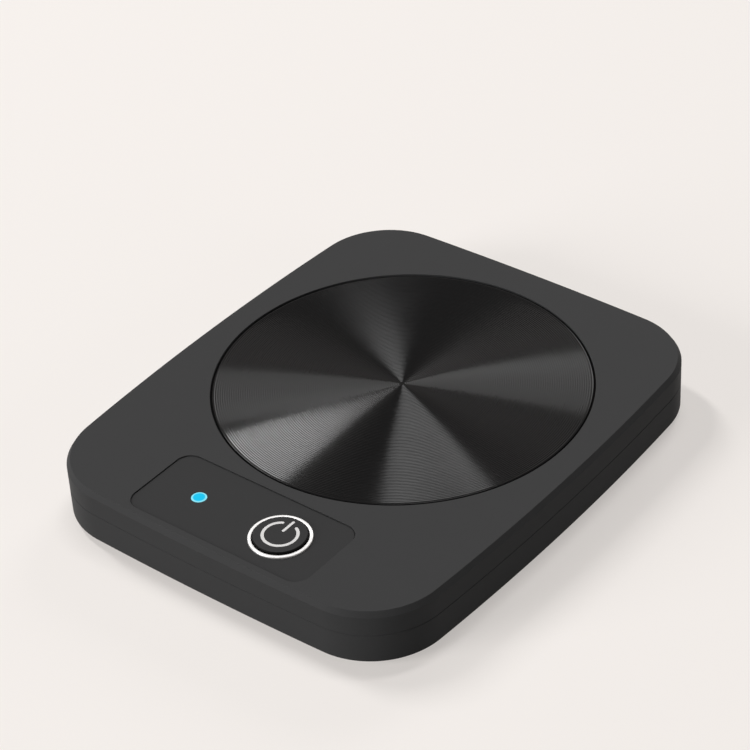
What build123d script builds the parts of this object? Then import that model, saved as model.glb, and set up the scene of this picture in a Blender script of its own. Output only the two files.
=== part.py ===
"""Electric mug warmer: a low case with a heated plate, a control panel and a push button.

Millimetres. The origin is at the centre of the base, on the surface that the warmer
stands on. +Z is up, +Y points away from the control panel, +X is to the user's right.
"""
from build123d import *
import math
import os

os.makedirs("parts", exist_ok=True)

# ---------------------------------------------------------------- driving dimensions
# case shells
wall_thickness = 2.0
floor_thickness = 2.0
deck_thickness = 2.2
corner_radius = 18.9
side_bow = 3.0                  # how far a long side bulges past its ends
end_bow = 1.32                  # the same for the front and the back
top_edge_inset = 0.85           # sloped edge round the deck
top_edge_drop = 1.3
bottom_edge_radius = 0.4
inner_edge_chamfer = 0.5
rib_thickness = 1.2
rib_above_rebate = 0.3
seam_edge_chamfer = 0.15

# seam between the shells
lower_wall_height = 7.25
seam_gap = 0.25
lip_thickness = 0.9
lip_clearance = 0.1
lip_engagement = 1.5

# heating plate
plate_radius = 44.5
plate_sunk = 0.15               # plate top below the deck
plate_chamfer = 0.3
plate_web = 2.4                 # metal over the heater
plate_flange_width = 2.5
plate_flange_thickness = 1.2
heater_pocket_wall = 5.0        # from the pocket to the flange's edge
flange_to_wall = 3.4

# silicone gasket round the plate
gasket_width = 0.5
gasket_flange_thickness = 0.5
gasket_flange_overhang = 0.5
gasket_sunk = 0.5

# heater stack
heater_thickness = 0.6
heater_edge_clearance = 0.4
lead_slot_length = 6.0
lead_slot_width = 2.6
lead_slot_x = 14.0
lead_slot_back = 33.3           # lead slot in front of the plate's centre
pressure_plate_thickness = 0.8
ear_angle = 30.0
ear_screw_clearance = 0.7
ear_radius = 3.2

# temperature sensor
sensor_tip_radius = 2.1
sensor_hole_clearance = 0.2
sensor_flange_radius = 4.5
sensor_flange_thickness = 1.0

# thermal cutout and its strap
cutout_length = 16.0
cutout_width = 7.0
cutout_height = 3.2
cutout_edge_radius = 0.8
cutout_x = -10.0
cutout_forward = 16.3           # cutout in front of the plate's centre
strap_width = 5.0
strap_thickness = 0.4
strap_foot = 3.0
strap_fit = 0.1

# control panel inlay
panel_width = 50.0
panel_depth = 21.65
panel_corner_radius = 3.8
panel_thickness = 0.8
panel_sunk = 0.25
panel_gap = 0.2
panel_front_margin = 2.65
panel_to_plate = 3.0
panel_shift = 0.45              # panel centre to the right of the case's centre
panel_edge_chamfer = 0.12

# button
button_from_end = 13.55         # button's centre to the panel's right end
button_offset_y = -0.5          # from the panel's centre
button_radius = 6.15
button_edge_radius = 0.6
button_proud = 1.0              # over the panel
button_top_thickness = 1.2
button_skirt_thickness = 1.0
button_flange_radius = 7.2
button_flange_thickness = 0.8
button_stem_radius = 1.8
button_stem_length = 1.4        # below the flange
button_travel = 0.8
button_ring_clearance = 0.185
ring_wall = 0.4
ring_lip_width = 0.465
ring_proud = 0.5
ring_chamfer = 0.15
ring_fit = 0.05

# indicator lens and lamp
led_from_end = 12.65            # lens centre to the panel's left end
led_offset_y = 0.0              # from the panel's centre
lens_radius = 1.8
lens_proud = 0.05
lens_chamfer = 0.3
lens_guide_radius = 1.4
lens_seat_depth = 0.7           # lens shoulder above the deck's underside
lens_fit = 0.05
lens_to_lamp = 0.3
lamp_length = 3.5
lamp_width = 2.8
lamp_height = 1.9
lamp_dome_radius = 1.2
lamp_dome_depth = 0.3

# tactile switch
switch_side = 6.0
switch_height = 3.5
switch_edge_radius = 0.4
plunger_radius = 1.75
plunger_fit = 0.1
plunger_proud = 1.1
plunger_hidden = 1.1
plunger_floor_clearance = 0.2

# circuit board
board_thickness = 1.6
board_depth = 18.5
board_back_shift = 0.75
board_end_clearance = 1.5
board_floor_gap = 1.0
board_corner_radius = 1.0
board_screw_inset_x = 3.5
board_screw_inset_y = 3.2
board_boss_radius = 2.4

# parts on the board, placed from the board's centre
chip_length = 8.7
chip_width = 3.9
chip_height = 1.6
chip_x = 0.0
chip_y = -0.75
chip_pin_count = 7
chip_pin_pitch = 1.27
chip_pin_width = 0.4
chip_pin_reach = 1.0
chip_pin_thickness = 0.25
transistor_length = 6.5
transistor_width = 6.1
transistor_height = 2.3
transistor_y = -2.5
transistor_tab_length = 1.0
transistor_tab_thickness = 0.5
capacitor_radius = 3.15
capacitor_height = 5.8
capacitor_y = -0.2
capacitor_chamfer = 0.4
capacitor_base_side = 6.6
capacitor_base_height = 0.8
connector_length = 6.0
connector_depth = 4.5
connector_height = 3.4
connector_wire_height = 1.1     # wire entry above the board
part_to_boss = 0.6              # parts at the board's ends to its screw bosses

# leads
lead_radius = 0.65
lead_pitch = 2.4
lead_bend = 4.0
sensor_lead_width = 2.6         # a flat twin lead
sensor_lead_thickness = 0.9
sensor_lead_bend = 2.0
lead_floor_gap = 0.05
supply_lead_drop = 14.0         # run of the slope from the inlet to the floor
supply_lead_rise = 10.0
supply_lead_tail = 7.0

# power inlet for a 5.5 mm barrel plug
inlet_width = 10.4
inlet_height = 8.0
inlet_length = 11.5
inlet_setback = 0.8             # inlet's face behind the middle of the back wall
inlet_to_boss = 2.8
inlet_to_flange = 0.76
inlet_edge_radius = 0.8
inlet_bore_radius = 3.2
inlet_bore_depth = 9.5
inlet_mouth_chamfer = 0.5
inlet_fit = 0.1
inlet_ear_width = 1.2
inlet_ear_thickness = 1.2
inlet_ear_setback = 0.9         # ears behind the middle of the wall's inner face
inlet_stop_thickness = 1.2
inlet_stop_height = 3.0
inlet_stop_width = 8.0
inlet_cradle_length = 6.0
pin_radius = 1.05
pin_setback = 2.4               # pin's tip inside the socket's mouth
pin_tip_chamfer = 0.4
tail_radius = 0.6
tail_length = 2.5
leaf_width = 2.4
leaf_thickness = 0.35
leaf_inset = 0.1                # leaf contact beyond the bore's wall
leaf_length = 7.5

# bosses, screws and feet
case_screw_inset = 13.5         # from the case's sides
case_boss_radius = 3.5
case_boss_height = 3.5          # above the floor
case_screw_radius = 1.3
case_screw_length = 7.0
case_head_radius = 2.4
case_head_height = 1.7
case_screw_hole_clearance = 0.2
head_hole_clearance = 0.2
pilot_end_clearance = 0.5
small_screw_radius = 0.95
small_screw_hole_clearance = 0.2
small_head_radius = 2.0
small_head_height = 0.8
board_screw_grip = 4.0          # screw length in the boss
ear_screw_grip = 2.4
ear_boss_radius = 2.8
head_chamfer = 0.4
foot_radius = 6.0
foot_height = 1.5               # below the case
foot_recess_depth = 0.8
foot_recess_clearance = 0.15
foot_chamfer = 0.4

# vents in the floor
vent_length = 18.0
vent_width = 2.0
vent_rows = 5
vent_pitch = 6.0
vent_column_x = 11.0

# ---------------------------------------------------------------- levels and places
opening_radius = plate_radius + gasket_width
flange_radius = plate_radius + plate_flange_width
case_width = 2 * (flange_radius + flange_to_wall + wall_thickness)
case_screw_x = case_width / 2 - case_screw_inset
inlet_x = inlet_width / 2 + inlet_to_boss + case_boss_radius - case_screw_x
flange_reach = math.sqrt(flange_radius ** 2 - (inlet_x + inlet_width / 2) ** 2)
plate_to_back = flange_reach + inlet_to_flange + inlet_length + inlet_setback
case_depth = (panel_front_margin + panel_depth + panel_to_plate
              + opening_radius + plate_to_back)
plate_y = case_depth / 2 - plate_to_back
panel_y = panel_front_margin + panel_depth / 2 - case_depth / 2

case_bottom = foot_height
floor_top = case_bottom + floor_thickness
board_bottom = floor_top + board_floor_gap
board_top = board_bottom + board_thickness
plunger_top = board_top + switch_height + plunger_proud
deck_underside = plunger_top + button_stem_length + button_flange_thickness
deck_top = deck_underside + deck_thickness

lower_wall_top = case_bottom + lower_wall_height
upper_wall_bottom = lower_wall_top + seam_gap
lip_top = upper_wall_bottom + lip_engagement
rebate_top = lip_top + lip_clearance

panel_top = deck_top - panel_sunk
panel_seat = panel_top - panel_thickness
plate_top = deck_top - plate_sunk
flange_top = deck_underside - gasket_flange_thickness
pressure_plate_top = flange_top - plate_flange_thickness
pressure_plate_bottom = pressure_plate_top - pressure_plate_thickness
heater_top = plate_top - plate_web
heater_bottom = heater_top - heater_thickness
pocket_radius = flange_radius - heater_pocket_wall
heater_radius = pocket_radius - heater_edge_clearance
sensor_hole_radius = sensor_tip_radius + sensor_hole_clearance

button_x = panel_shift + panel_width / 2 - button_from_end
button_y = panel_y + button_offset_y
led_x = panel_shift - panel_width / 2 + led_from_end
led_y = panel_y + led_offset_y
ring_bore_radius = button_radius + button_ring_clearance
ring_sleeve_radius = ring_bore_radius + ring_wall
ring_radius = ring_sleeve_radius + ring_lip_width
ring_hole_radius = ring_sleeve_radius + ring_fit

case_screw_y = case_depth / 2 - case_screw_inset
case_screw_points = [(x, y) for x in (-case_screw_x, case_screw_x)
                     for y in (-case_screw_y, case_screw_y)]
case_boss_top = floor_top + case_boss_height
rib_points = [(x + math.copysign(case_screw_inset / 2, x), y) for x, y in case_screw_points]
rib_ends = [(x, y + math.copysign(case_screw_inset / 2, y)) for x, y in case_screw_points]
rib_bottom = rebate_top + rib_above_rebate
case_head_seat = case_bottom + foot_recess_depth + case_head_height

board_length = 2 * (case_screw_x - case_boss_radius - board_end_clearance)
board_y = panel_y + board_back_shift
board_back = board_y + board_depth / 2
board_screw_x = board_length / 2 - board_screw_inset_x
board_screw_dy = board_depth / 2 - board_screw_inset_y
board_screw_points = [(x, board_y + dy) for x in (-board_screw_x, board_screw_x)
                      for dy in (-board_screw_dy, board_screw_dy)]
connector_z = board_top + connector_wire_height
parts_end_x = board_screw_x - board_boss_radius - part_to_boss
supply_connector_x = connector_length / 2 - parts_end_x
transistor_x = transistor_length / 2 - parts_end_x
capacitor_x = parts_end_x - capacitor_base_side / 2

ear_circle = flange_radius + ear_screw_clearance + ear_boss_radius
ear_directions = (ear_angle, 180 - ear_angle, 180 + ear_angle, -ear_angle)
ear_points = [(ear_circle * math.cos(math.radians(a)),
               plate_y + ear_circle * math.sin(math.radians(a))) for a in ear_directions]

cutout_y = plate_y - cutout_forward
cutout_bottom = pressure_plate_bottom - cutout_height
lead_slot_y = plate_y - lead_slot_back

inlet_z = (floor_top + deck_underside) / 2
inlet_front = case_depth / 2 - inlet_setback
inlet_back = inlet_front - inlet_length
inlet_ear_front = case_depth / 2 - wall_thickness - inlet_ear_setback
window_depth = wall_thickness + inlet_ear_setback + inlet_ear_thickness
tail_end = inlet_back - tail_length
leaf_offset = inlet_bore_radius + leaf_inset + leaf_thickness / 2
leaf_outside = leaf_offset + leaf_thickness / 2


def turning_plane(x, y):
    """An upright plane through the vertical line at x, y: sketch x is the radius, y the height."""
    return Plane(origin=(x, y, 0), x_dir=(1, 0, 0), z_dir=(0, -1, 0))


def turning_axis(x, y):
    """The vertical line at x, y."""
    return Axis((x, y, 0), (0, 0, 1))


def bow_radius(half_length, bow):
    """Radius of the arc that falls by bow over half_length."""
    return (half_length ** 2 + bow ** 2) / (2 * bow)


def case_section(inset):
    """The case's outline, four long arcs with round corners, moved inwards by inset."""
    side_radius = bow_radius(case_depth / 2, side_bow)
    end_radius = bow_radius(case_width / 2, end_bow)
    side_centre = side_radius - case_width / 2
    end_centre = end_radius - case_depth / 2
    with BuildSketch() as section:
        with Locations((side_centre, 0)):
            Circle(side_radius - inset)
        with Locations((-side_centre, 0)):
            Circle(side_radius - inset, mode=Mode.INTERSECT)
        with Locations((0, end_centre)):
            Circle(end_radius - inset, mode=Mode.INTERSECT)
        with Locations((0, -end_centre)):
            Circle(end_radius - inset, mode=Mode.INTERSECT)
        corners = section.vertices().filter_by(lambda v: abs(v.Y) > case_depth / 4)
        fillet(corners, corner_radius - inset)
    return section.sketch


def lead(route_points, bend, radius):
    """One insulated wire: straight runs joined by round bends."""
    with BuildPart() as wire:
        with BuildLine() as route:
            FilletPolyline(*route_points, radius=bend)
        with BuildSketch(Plane(origin=route.line @ 0, z_dir=route.line % 0)):
            Circle(radius)
        sweep()
    return wire.part


outer_section = case_section(0)
inner_section = case_section(wall_thickness)
lip_section = case_section(wall_thickness - lip_thickness)
rebate_section = case_section(wall_thickness - lip_thickness - lip_clearance)

# ribs from each case boss to the side wall and to the end wall
with BuildSketch() as boss_ribs:
    with Locations(*rib_points):
        Rectangle(case_screw_inset, rib_thickness)
    with Locations(*rib_ends):
        Rectangle(rib_thickness, case_screw_inset)
    with Locations(*case_screw_points):
        Circle(case_boss_radius)
    add(case_section(wall_thickness / 2), mode=Mode.INTERSECT)

# ---------------------------------------------------------------- top cover
with BuildPart() as top_cover:
    with BuildSketch(Plane.XY.offset(upper_wall_bottom)):
        add(outer_section)
    extrude(amount=deck_top - upper_wall_bottom)
    deck_face = top_cover.faces().sort_by(Axis.Z)[-1]
    chamfer(deck_face.edges(), top_edge_inset, top_edge_drop, reference=deck_face)
    chamfer(top_cover.faces().sort_by(Axis.Z)[0].edges(), seam_edge_chamfer)

    # hollow, with a sloped inside edge under the deck
    with BuildSketch(Plane.XY.offset(upper_wall_bottom)):
        add(inner_section)
    extrude(amount=deck_underside - upper_wall_bottom, mode=Mode.SUBTRACT)
    chamfer(top_cover.faces().filter_by(Plane.XY).sort_by(Axis.Z)[-2].edges(), inner_edge_chamfer)

    # rebate that the lower shell's lip fits into
    with BuildSketch(Plane.XY.offset(upper_wall_bottom)):
        add(rebate_section)
    extrude(amount=rebate_top - upper_wall_bottom, mode=Mode.SUBTRACT)

    # ribbed case bosses, board bosses and ear bosses hang from the deck
    with BuildSketch(Plane.XY.offset(rib_bottom)):
        add(boss_ribs.sketch)
    extrude(amount=deck_underside - rib_bottom)
    with BuildSketch(Plane.XY.offset(case_boss_top)):
        with Locations(*case_screw_points):
            Circle(case_boss_radius)
    extrude(amount=deck_underside - case_boss_top)
    with BuildSketch(Plane.XY.offset(board_top)):
        with Locations(*board_screw_points):
            Circle(board_boss_radius)
    extrude(amount=deck_underside - board_top)
    with BuildSketch(Plane.XY.offset(pressure_plate_top)):
        with Locations(*ear_points):
            Circle(ear_boss_radius)
    extrude(amount=deck_underside - pressure_plate_top)

    # pilot holes
    with BuildSketch(Plane.XY.offset(case_boss_top)):
        with Locations(*case_screw_points):
            Circle(case_screw_radius)
    extrude(amount=case_head_seat + case_screw_length + pilot_end_clearance - case_boss_top,
            mode=Mode.SUBTRACT)
    with BuildSketch(Plane.XY.offset(board_top)):
        with Locations(*board_screw_points):
            Circle(small_screw_radius)
    extrude(amount=board_screw_grip + pilot_end_clearance, mode=Mode.SUBTRACT)
    with BuildSketch(Plane.XY.offset(pressure_plate_top)):
        with Locations(*ear_points):
            Circle(small_screw_radius)
    extrude(amount=ear_screw_grip + pilot_end_clearance, mode=Mode.SUBTRACT)

    # openings in the deck: heating plate, panel recess, button ring, lens
    with BuildSketch(Plane.XY.offset(deck_top)):
        with Locations((0, plate_y)):
            Circle(opening_radius)
    extrude(amount=-deck_thickness, mode=Mode.SUBTRACT)
    with BuildSketch(Plane.XY.offset(deck_top)):
        with Locations((panel_shift, panel_y)):
            RectangleRounded(panel_width + 2 * panel_gap, panel_depth + 2 * panel_gap,
                             panel_corner_radius + panel_gap)
    extrude(amount=panel_seat - deck_top, mode=Mode.SUBTRACT)
    with BuildSketch(Plane.XY.offset(deck_top)):
        with Locations((button_x, button_y)):
            Circle(ring_hole_radius)
        with Locations((led_x, led_y)):
            Circle(lens_guide_radius + lens_fit)
    extrude(amount=-deck_thickness, mode=Mode.SUBTRACT)
    with BuildSketch(Plane.XY.offset(deck_top)):
        with Locations((led_x, led_y)):
            Circle(lens_radius + lens_fit)
    extrude(amount=deck_underside + lens_seat_depth - deck_top, mode=Mode.SUBTRACT)

    # upper half of the inlet's window, and the rib that holds the inlet down
    with BuildSketch(Plane.XY.offset(inlet_z - inlet_height / 2 - inlet_fit)):
        with Locations((inlet_x, case_depth / 2)):
            Rectangle(inlet_width + 2 * inlet_fit, 2 * window_depth)
    extrude(amount=inlet_height + 2 * inlet_fit, mode=Mode.SUBTRACT)
    with BuildSketch(Plane.XY.offset(inlet_z + inlet_height / 2)):
        with Locations((inlet_x, inlet_back + inlet_length / 2)):
            Rectangle(inlet_stop_width, inlet_stop_thickness)
    extrude(amount=deck_underside - inlet_z - inlet_height / 2)
top_cover.part.label = "top_cover"
export_step(top_cover.part, "parts/top_cover.step")

# ---------------------------------------------------------------- bottom cover
with BuildPart() as bottom_cover:
    with BuildSketch(Plane.XY.offset(case_bottom)):
        add(outer_section)
    extrude(amount=lower_wall_height)
    fillet(bottom_cover.faces().sort_by(Axis.Z)[0].edges(), bottom_edge_radius)
    chamfer(bottom_cover.faces().sort_by(Axis.Z)[-1].edges(), seam_edge_chamfer)

    # lip that reaches into the upper shell
    with BuildSketch(Plane.XY.offset(lower_wall_top)):
        add(lip_section)
    extrude(amount=lip_top - lower_wall_top)
    with BuildSketch(Plane.XY.offset(floor_top)):
        add(inner_section)
    extrude(amount=lip_top - floor_top, mode=Mode.SUBTRACT)

    # ribbed screw bosses with counterbores under the feet
    with BuildSketch(Plane.XY.offset(floor_top)):
        add(boss_ribs.sketch)
    extrude(amount=case_boss_height)
    with BuildSketch(Plane.XY.offset(case_bottom)):
        with Locations(*case_screw_points):
            Circle(foot_radius + foot_recess_clearance)
    extrude(amount=foot_recess_depth, mode=Mode.SUBTRACT)
    with BuildSketch(Plane.XY.offset(case_bottom)):
        with Locations(*case_screw_points):
            Circle(case_head_radius + head_hole_clearance)
    extrude(amount=case_head_seat - case_bottom, mode=Mode.SUBTRACT)
    with BuildSketch(Plane.XY.offset(case_bottom)):
        with Locations(*case_screw_points):
            Circle(case_screw_radius + case_screw_hole_clearance)
    extrude(amount=case_boss_top - case_bottom, mode=Mode.SUBTRACT)

    # vents below the heater
    with BuildSketch(Plane.XY.offset(case_bottom)):
        with Locations((0, plate_y)):
            with GridLocations(2 * vent_column_x, vent_pitch, 2, vent_rows):
                SlotOverall(vent_length, vent_width)
    extrude(amount=floor_thickness, mode=Mode.SUBTRACT)

    # lower half of the inlet's window, then the inlet's cradle and stop
    with BuildSketch(Plane.XY.offset(inlet_z - inlet_height / 2 - inlet_fit)):
        with Locations((inlet_x, case_depth / 2)):
            Rectangle(inlet_width + 2 * inlet_fit, 2 * window_depth)
    extrude(amount=inlet_height + 2 * inlet_fit, mode=Mode.SUBTRACT)
    with BuildSketch(Plane.XY.offset(floor_top)):
        with Locations((inlet_x, inlet_back + inlet_length / 2)):
            Rectangle(inlet_width, inlet_cradle_length)
    extrude(amount=inlet_z - inlet_height / 2 - floor_top)
    with BuildSketch(Plane.XY.offset(floor_top)):
        with Locations((inlet_x, inlet_back - inlet_stop_thickness / 2)):
            Rectangle(inlet_stop_width, inlet_stop_thickness)
    extrude(amount=inlet_stop_height)
bottom_cover.part.label = "bottom_cover"
export_step(bottom_cover.part, "parts/bottom_cover.step")

# ---------------------------------------------------------------- heating plate and gasket
with BuildPart() as heating_plate:
    with BuildSketch(turning_plane(0, plate_y)):
        with BuildLine():
            Polyline((0, heater_top), (0, plate_top), (plate_radius - plate_chamfer, plate_top),
                     (plate_radius, plate_top - plate_chamfer), (plate_radius, flange_top),
                     (flange_radius, flange_top), (flange_radius, pressure_plate_top),
                     (pocket_radius, pressure_plate_top), (pocket_radius, heater_top), close=True)
        make_face()
    revolve(axis=turning_axis(0, plate_y))
heating_plate.part.label = "heating_plate"
export_step(heating_plate.part, "parts/heating_plate.step")

gasket_top = deck_top - gasket_sunk
gasket_flange_radius = flange_radius + gasket_flange_overhang
with BuildPart() as plate_gasket:
    with BuildSketch(turning_plane(0, plate_y)):
        with BuildLine():
            Polyline((plate_radius, flange_top), (plate_radius, gasket_top),
                     (opening_radius, gasket_top), (opening_radius, deck_underside),
                     (gasket_flange_radius, deck_underside),
                     (gasket_flange_radius, flange_top), close=True)
        make_face()
    revolve(axis=turning_axis(0, plate_y))
plate_gasket.part.label = "plate_gasket"
export_step(plate_gasket.part, "parts/plate_gasket.step")

# ---------------------------------------------------------------- heater stack
with BuildPart() as heater_element:
    with BuildSketch(Plane.XY.offset(heater_bottom)):
        with Locations((0, plate_y)):
            Circle(heater_radius)
            Circle(sensor_hole_radius, mode=Mode.SUBTRACT)
    extrude(amount=heater_thickness)
heater_element.part.label = "heater_element"
export_step(heater_element.part, "parts/heater_element.step")

with BuildPart() as insulation_pad:
    with BuildSketch(Plane.XY.offset(pressure_plate_top)):
        with Locations((0, plate_y)):
            Circle(heater_radius)
            Circle(sensor_hole_radius, mode=Mode.SUBTRACT)
        with Locations((lead_slot_x, lead_slot_y)):
            SlotOverall(lead_slot_length, lead_slot_width, mode=Mode.SUBTRACT)
    extrude(amount=heater_bottom - pressure_plate_top)
insulation_pad.part.label = "insulation_pad"
export_step(insulation_pad.part, "parts/insulation_pad.step")

with BuildPart() as pressure_plate:
    with BuildSketch(Plane.XY.offset(pressure_plate_bottom)):
        with Locations((0, plate_y)):
            Circle(flange_radius)
            for direction in ear_directions:
                with PolarLocations(ear_circle / 2, 1, start_angle=direction):
                    Rectangle(ear_circle, 2 * ear_radius)
        with Locations(*ear_points):
            Circle(ear_radius)
            Circle(small_screw_radius + small_screw_hole_clearance, mode=Mode.SUBTRACT)
        with Locations((0, plate_y)):
            Circle(sensor_hole_radius, mode=Mode.SUBTRACT)
        with Locations((lead_slot_x, lead_slot_y)):
            SlotOverall(lead_slot_length, lead_slot_width, mode=Mode.SUBTRACT)
    extrude(amount=pressure_plate_thickness)
pressure_plate.part.label = "pressure_plate"
export_step(pressure_plate.part, "parts/pressure_plate.step")

with BuildPart() as pressure_plate_screws:
    with BuildSketch(Plane.XY.offset(pressure_plate_bottom - small_head_height)):
        with Locations(*ear_points):
            Circle(small_head_radius)
    extrude(amount=small_head_height)
    chamfer(pressure_plate_screws.faces().group_by(Axis.Z)[0].edges(), head_chamfer)
    with BuildSketch(Plane.XY.offset(pressure_plate_bottom)):
        with Locations(*ear_points):
            Circle(small_screw_radius)
    extrude(amount=pressure_plate_thickness + ear_screw_grip)
pressure_plate_screws.part.label = "pressure_plate_screws"
export_step(pressure_plate_screws.part, "parts/pressure_plate_screws.step")

# ---------------------------------------------------------------- sensor and cutout
with BuildPart() as temperature_sensor:
    with BuildSketch(Plane.XY.offset(pressure_plate_bottom - sensor_flange_thickness)):
        with Locations((0, plate_y)):
            Circle(sensor_flange_radius)
    extrude(amount=sensor_flange_thickness)
    with BuildSketch(Plane.XY.offset(pressure_plate_bottom)):
        with Locations((0, plate_y)):
            Circle(sensor_tip_radius)
    extrude(amount=heater_top - pressure_plate_bottom)
temperature_sensor.part.label = "temperature_sensor"
export_step(temperature_sensor.part, "parts/temperature_sensor.step")

with BuildPart() as thermal_cutout:
    with BuildSketch(Plane.XY.offset(cutout_bottom)):
        with Locations((cutout_x, cutout_y)):
            Rectangle(cutout_width, cutout_length)
    extrude(amount=cutout_height)
    fillet(thermal_cutout.edges().filter_by(Axis.Z), cutout_edge_radius)
thermal_cutout.part.label = "thermal_cutout"
export_step(thermal_cutout.part, "parts/thermal_cutout.step")

strap_inside = cutout_width + 2 * strap_fit
strap_plane = Plane(origin=(cutout_x, cutout_y + strap_width / 2, pressure_plate_bottom),
                    x_dir=(1, 0, 0), z_dir=(0, -1, 0))
with BuildPart() as cutout_strap:
    with BuildSketch(strap_plane):
        with Locations((0, -strap_thickness / 2)):
            Rectangle(strap_inside + 2 * (strap_thickness + strap_foot), strap_thickness)
        with Locations((0, -(cutout_height + strap_thickness) / 2)):
            Rectangle(strap_inside + 2 * strap_thickness, cutout_height + strap_thickness)
        with Locations((0, -cutout_height / 2)):
            Rectangle(strap_inside, cutout_height, mode=Mode.SUBTRACT)
    extrude(amount=strap_width)
cutout_strap.part.label = "cutout_strap"
export_step(cutout_strap.part, "parts/cutout_strap.step")

# ---------------------------------------------------------------- control panel
with BuildPart() as control_panel:
    with BuildSketch(Plane.XY.offset(panel_seat)):
        with Locations((panel_shift, panel_y)):
            RectangleRounded(panel_width, panel_depth, panel_corner_radius)
    extrude(amount=panel_thickness)
    chamfer(control_panel.faces().sort_by(Axis.Z)[-1].edges(), panel_edge_chamfer)
    with BuildSketch(Plane.XY.offset(panel_seat)):
        with Locations((button_x, button_y)):
            Circle(ring_hole_radius)
        with Locations((led_x, led_y)):
            Circle(lens_radius + lens_fit)
    extrude(amount=panel_thickness, mode=Mode.SUBTRACT)
control_panel.part.label = "control_panel"
export_step(control_panel.part, "parts/control_panel.step")

# ---------------------------------------------------------------- button and its ring
ring_top = panel_top + ring_proud
with BuildPart() as button_ring:
    with BuildSketch(turning_plane(button_x, button_y)) as ring_profile:
        with BuildLine():
            Polyline((ring_bore_radius, deck_underside), (ring_bore_radius, ring_top),
                     (ring_radius, ring_top), (ring_radius, panel_top),
                     (ring_sleeve_radius, panel_top), (ring_sleeve_radius, deck_underside),
                     close=True)
        make_face()
        chamfer(ring_profile.vertices().group_by(Axis.Y)[-1], ring_chamfer)
    revolve(axis=turning_axis(button_x, button_y))
button_ring.part.label = "button_ring"
export_step(button_ring.part, "parts/button_ring.step")

button_top = panel_top + button_proud
flange_bottom = deck_underside - button_flange_thickness
stem_bottom = flange_bottom - button_stem_length
cap_inside_radius = button_radius - button_skirt_thickness
with BuildPart() as power_button:
    with BuildSketch(turning_plane(button_x, button_y)) as cap_profile:
        with BuildLine():
            Polyline((0, stem_bottom), (0, button_top), (button_radius, button_top),
                     (button_radius, deck_underside), (button_flange_radius, deck_underside),
                     (button_flange_radius, flange_bottom), (cap_inside_radius, flange_bottom),
                     (cap_inside_radius, button_top - button_top_thickness),
                     (button_stem_radius, button_top - button_top_thickness),
                     (button_stem_radius, stem_bottom), close=True)
        make_face()
        rim = cap_profile.vertices().group_by(Axis.Y)[-1].sort_by(Axis.X)[-1]
        fillet(rim, button_edge_radius)
    revolve(axis=turning_axis(button_x, button_y))
power_button.part.label = "power_button"
export_step(power_button.part, "parts/power_button.step")

# ---------------------------------------------------------------- indicator lens and lamp
lens_seat = deck_underside + lens_seat_depth
lamp_top = board_top + lamp_height
lens_top = panel_top + lens_proud
with BuildPart() as led_lens:
    with BuildSketch(turning_plane(led_x, led_y)) as lens_profile:
        with BuildLine():
            Polyline((0, lamp_top + lens_to_lamp), (0, lens_top), (lens_radius, lens_top),
                     (lens_radius, lens_seat), (lens_guide_radius, lens_seat),
                     (lens_guide_radius, lamp_top + lens_to_lamp), close=True)
        make_face()
        rim = lens_profile.vertices().group_by(Axis.Y)[-1].sort_by(Axis.X)[-1]
        chamfer(rim, lens_chamfer)
    revolve(axis=turning_axis(led_x, led_y))
led_lens.part.label = "led_lens"
export_step(led_lens.part, "parts/led_lens.step")

with BuildPart() as indicator_led:
    with BuildSketch(Plane.XY.offset(board_top)):
        with Locations((led_x, led_y)):
            Rectangle(lamp_length, lamp_width)
    extrude(amount=lamp_height)
    with BuildSketch(Plane.XY.offset(lamp_top - lamp_dome_depth)):
        with Locations((led_x, led_y)):
            Circle(lamp_dome_radius)
    extrude(amount=lamp_dome_depth, mode=Mode.SUBTRACT)
indicator_led.part.label = "indicator_led"
export_step(indicator_led.part, "parts/indicator_led.step")

# ---------------------------------------------------------------- tactile switch
switch_top = board_top + switch_height
plunger_bottom = switch_top - plunger_hidden
with BuildPart() as switch_body:
    with BuildSketch(Plane.XY.offset(board_top)):
        with Locations((button_x, button_y)):
            Rectangle(switch_side, switch_side)
    extrude(amount=switch_height)
    fillet(switch_body.edges().filter_by(Axis.Z), switch_edge_radius)
    with BuildSketch(Plane.XY.offset(switch_top)):
        with Locations((button_x, button_y)):
            Circle(plunger_radius + plunger_fit)
    extrude(amount=-(plunger_hidden + button_travel + plunger_floor_clearance),
            mode=Mode.SUBTRACT)
switch_body.part.label = "switch_body"
export_step(switch_body.part, "parts/switch_body.step")

with BuildPart() as switch_plunger:
    with BuildSketch(Plane.XY.offset(plunger_bottom)):
        with Locations((button_x, button_y)):
            Circle(plunger_radius)
    extrude(amount=plunger_top - plunger_bottom)
switch_plunger.part.label = "switch_plunger"
export_step(switch_plunger.part, "parts/switch_plunger.step")

# ---------------------------------------------------------------- circuit board
with BuildPart() as circuit_board:
    with BuildSketch(Plane.XY.offset(board_bottom)):
        with Locations((0, board_y)):
            RectangleRounded(board_length, board_depth, board_corner_radius)
        with Locations(*board_screw_points):
            Circle(small_screw_radius + small_screw_hole_clearance, mode=Mode.SUBTRACT)
    extrude(amount=board_thickness)
circuit_board.part.label = "circuit_board"
export_step(circuit_board.part, "parts/circuit_board.step")

with BuildPart() as board_screws:
    with BuildSketch(Plane.XY.offset(board_bottom - small_head_height)):
        with Locations(*board_screw_points):
            Circle(small_head_radius)
    extrude(amount=small_head_height)
    chamfer(board_screws.faces().group_by(Axis.Z)[0].edges(), head_chamfer)
    with BuildSketch(Plane.XY.offset(board_bottom)):
        with Locations(*board_screw_points):
            Circle(small_screw_radius)
    extrude(amount=board_thickness + board_screw_grip)
board_screws.part.label = "board_screws"
export_step(board_screws.part, "parts/board_screws.step")

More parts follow.
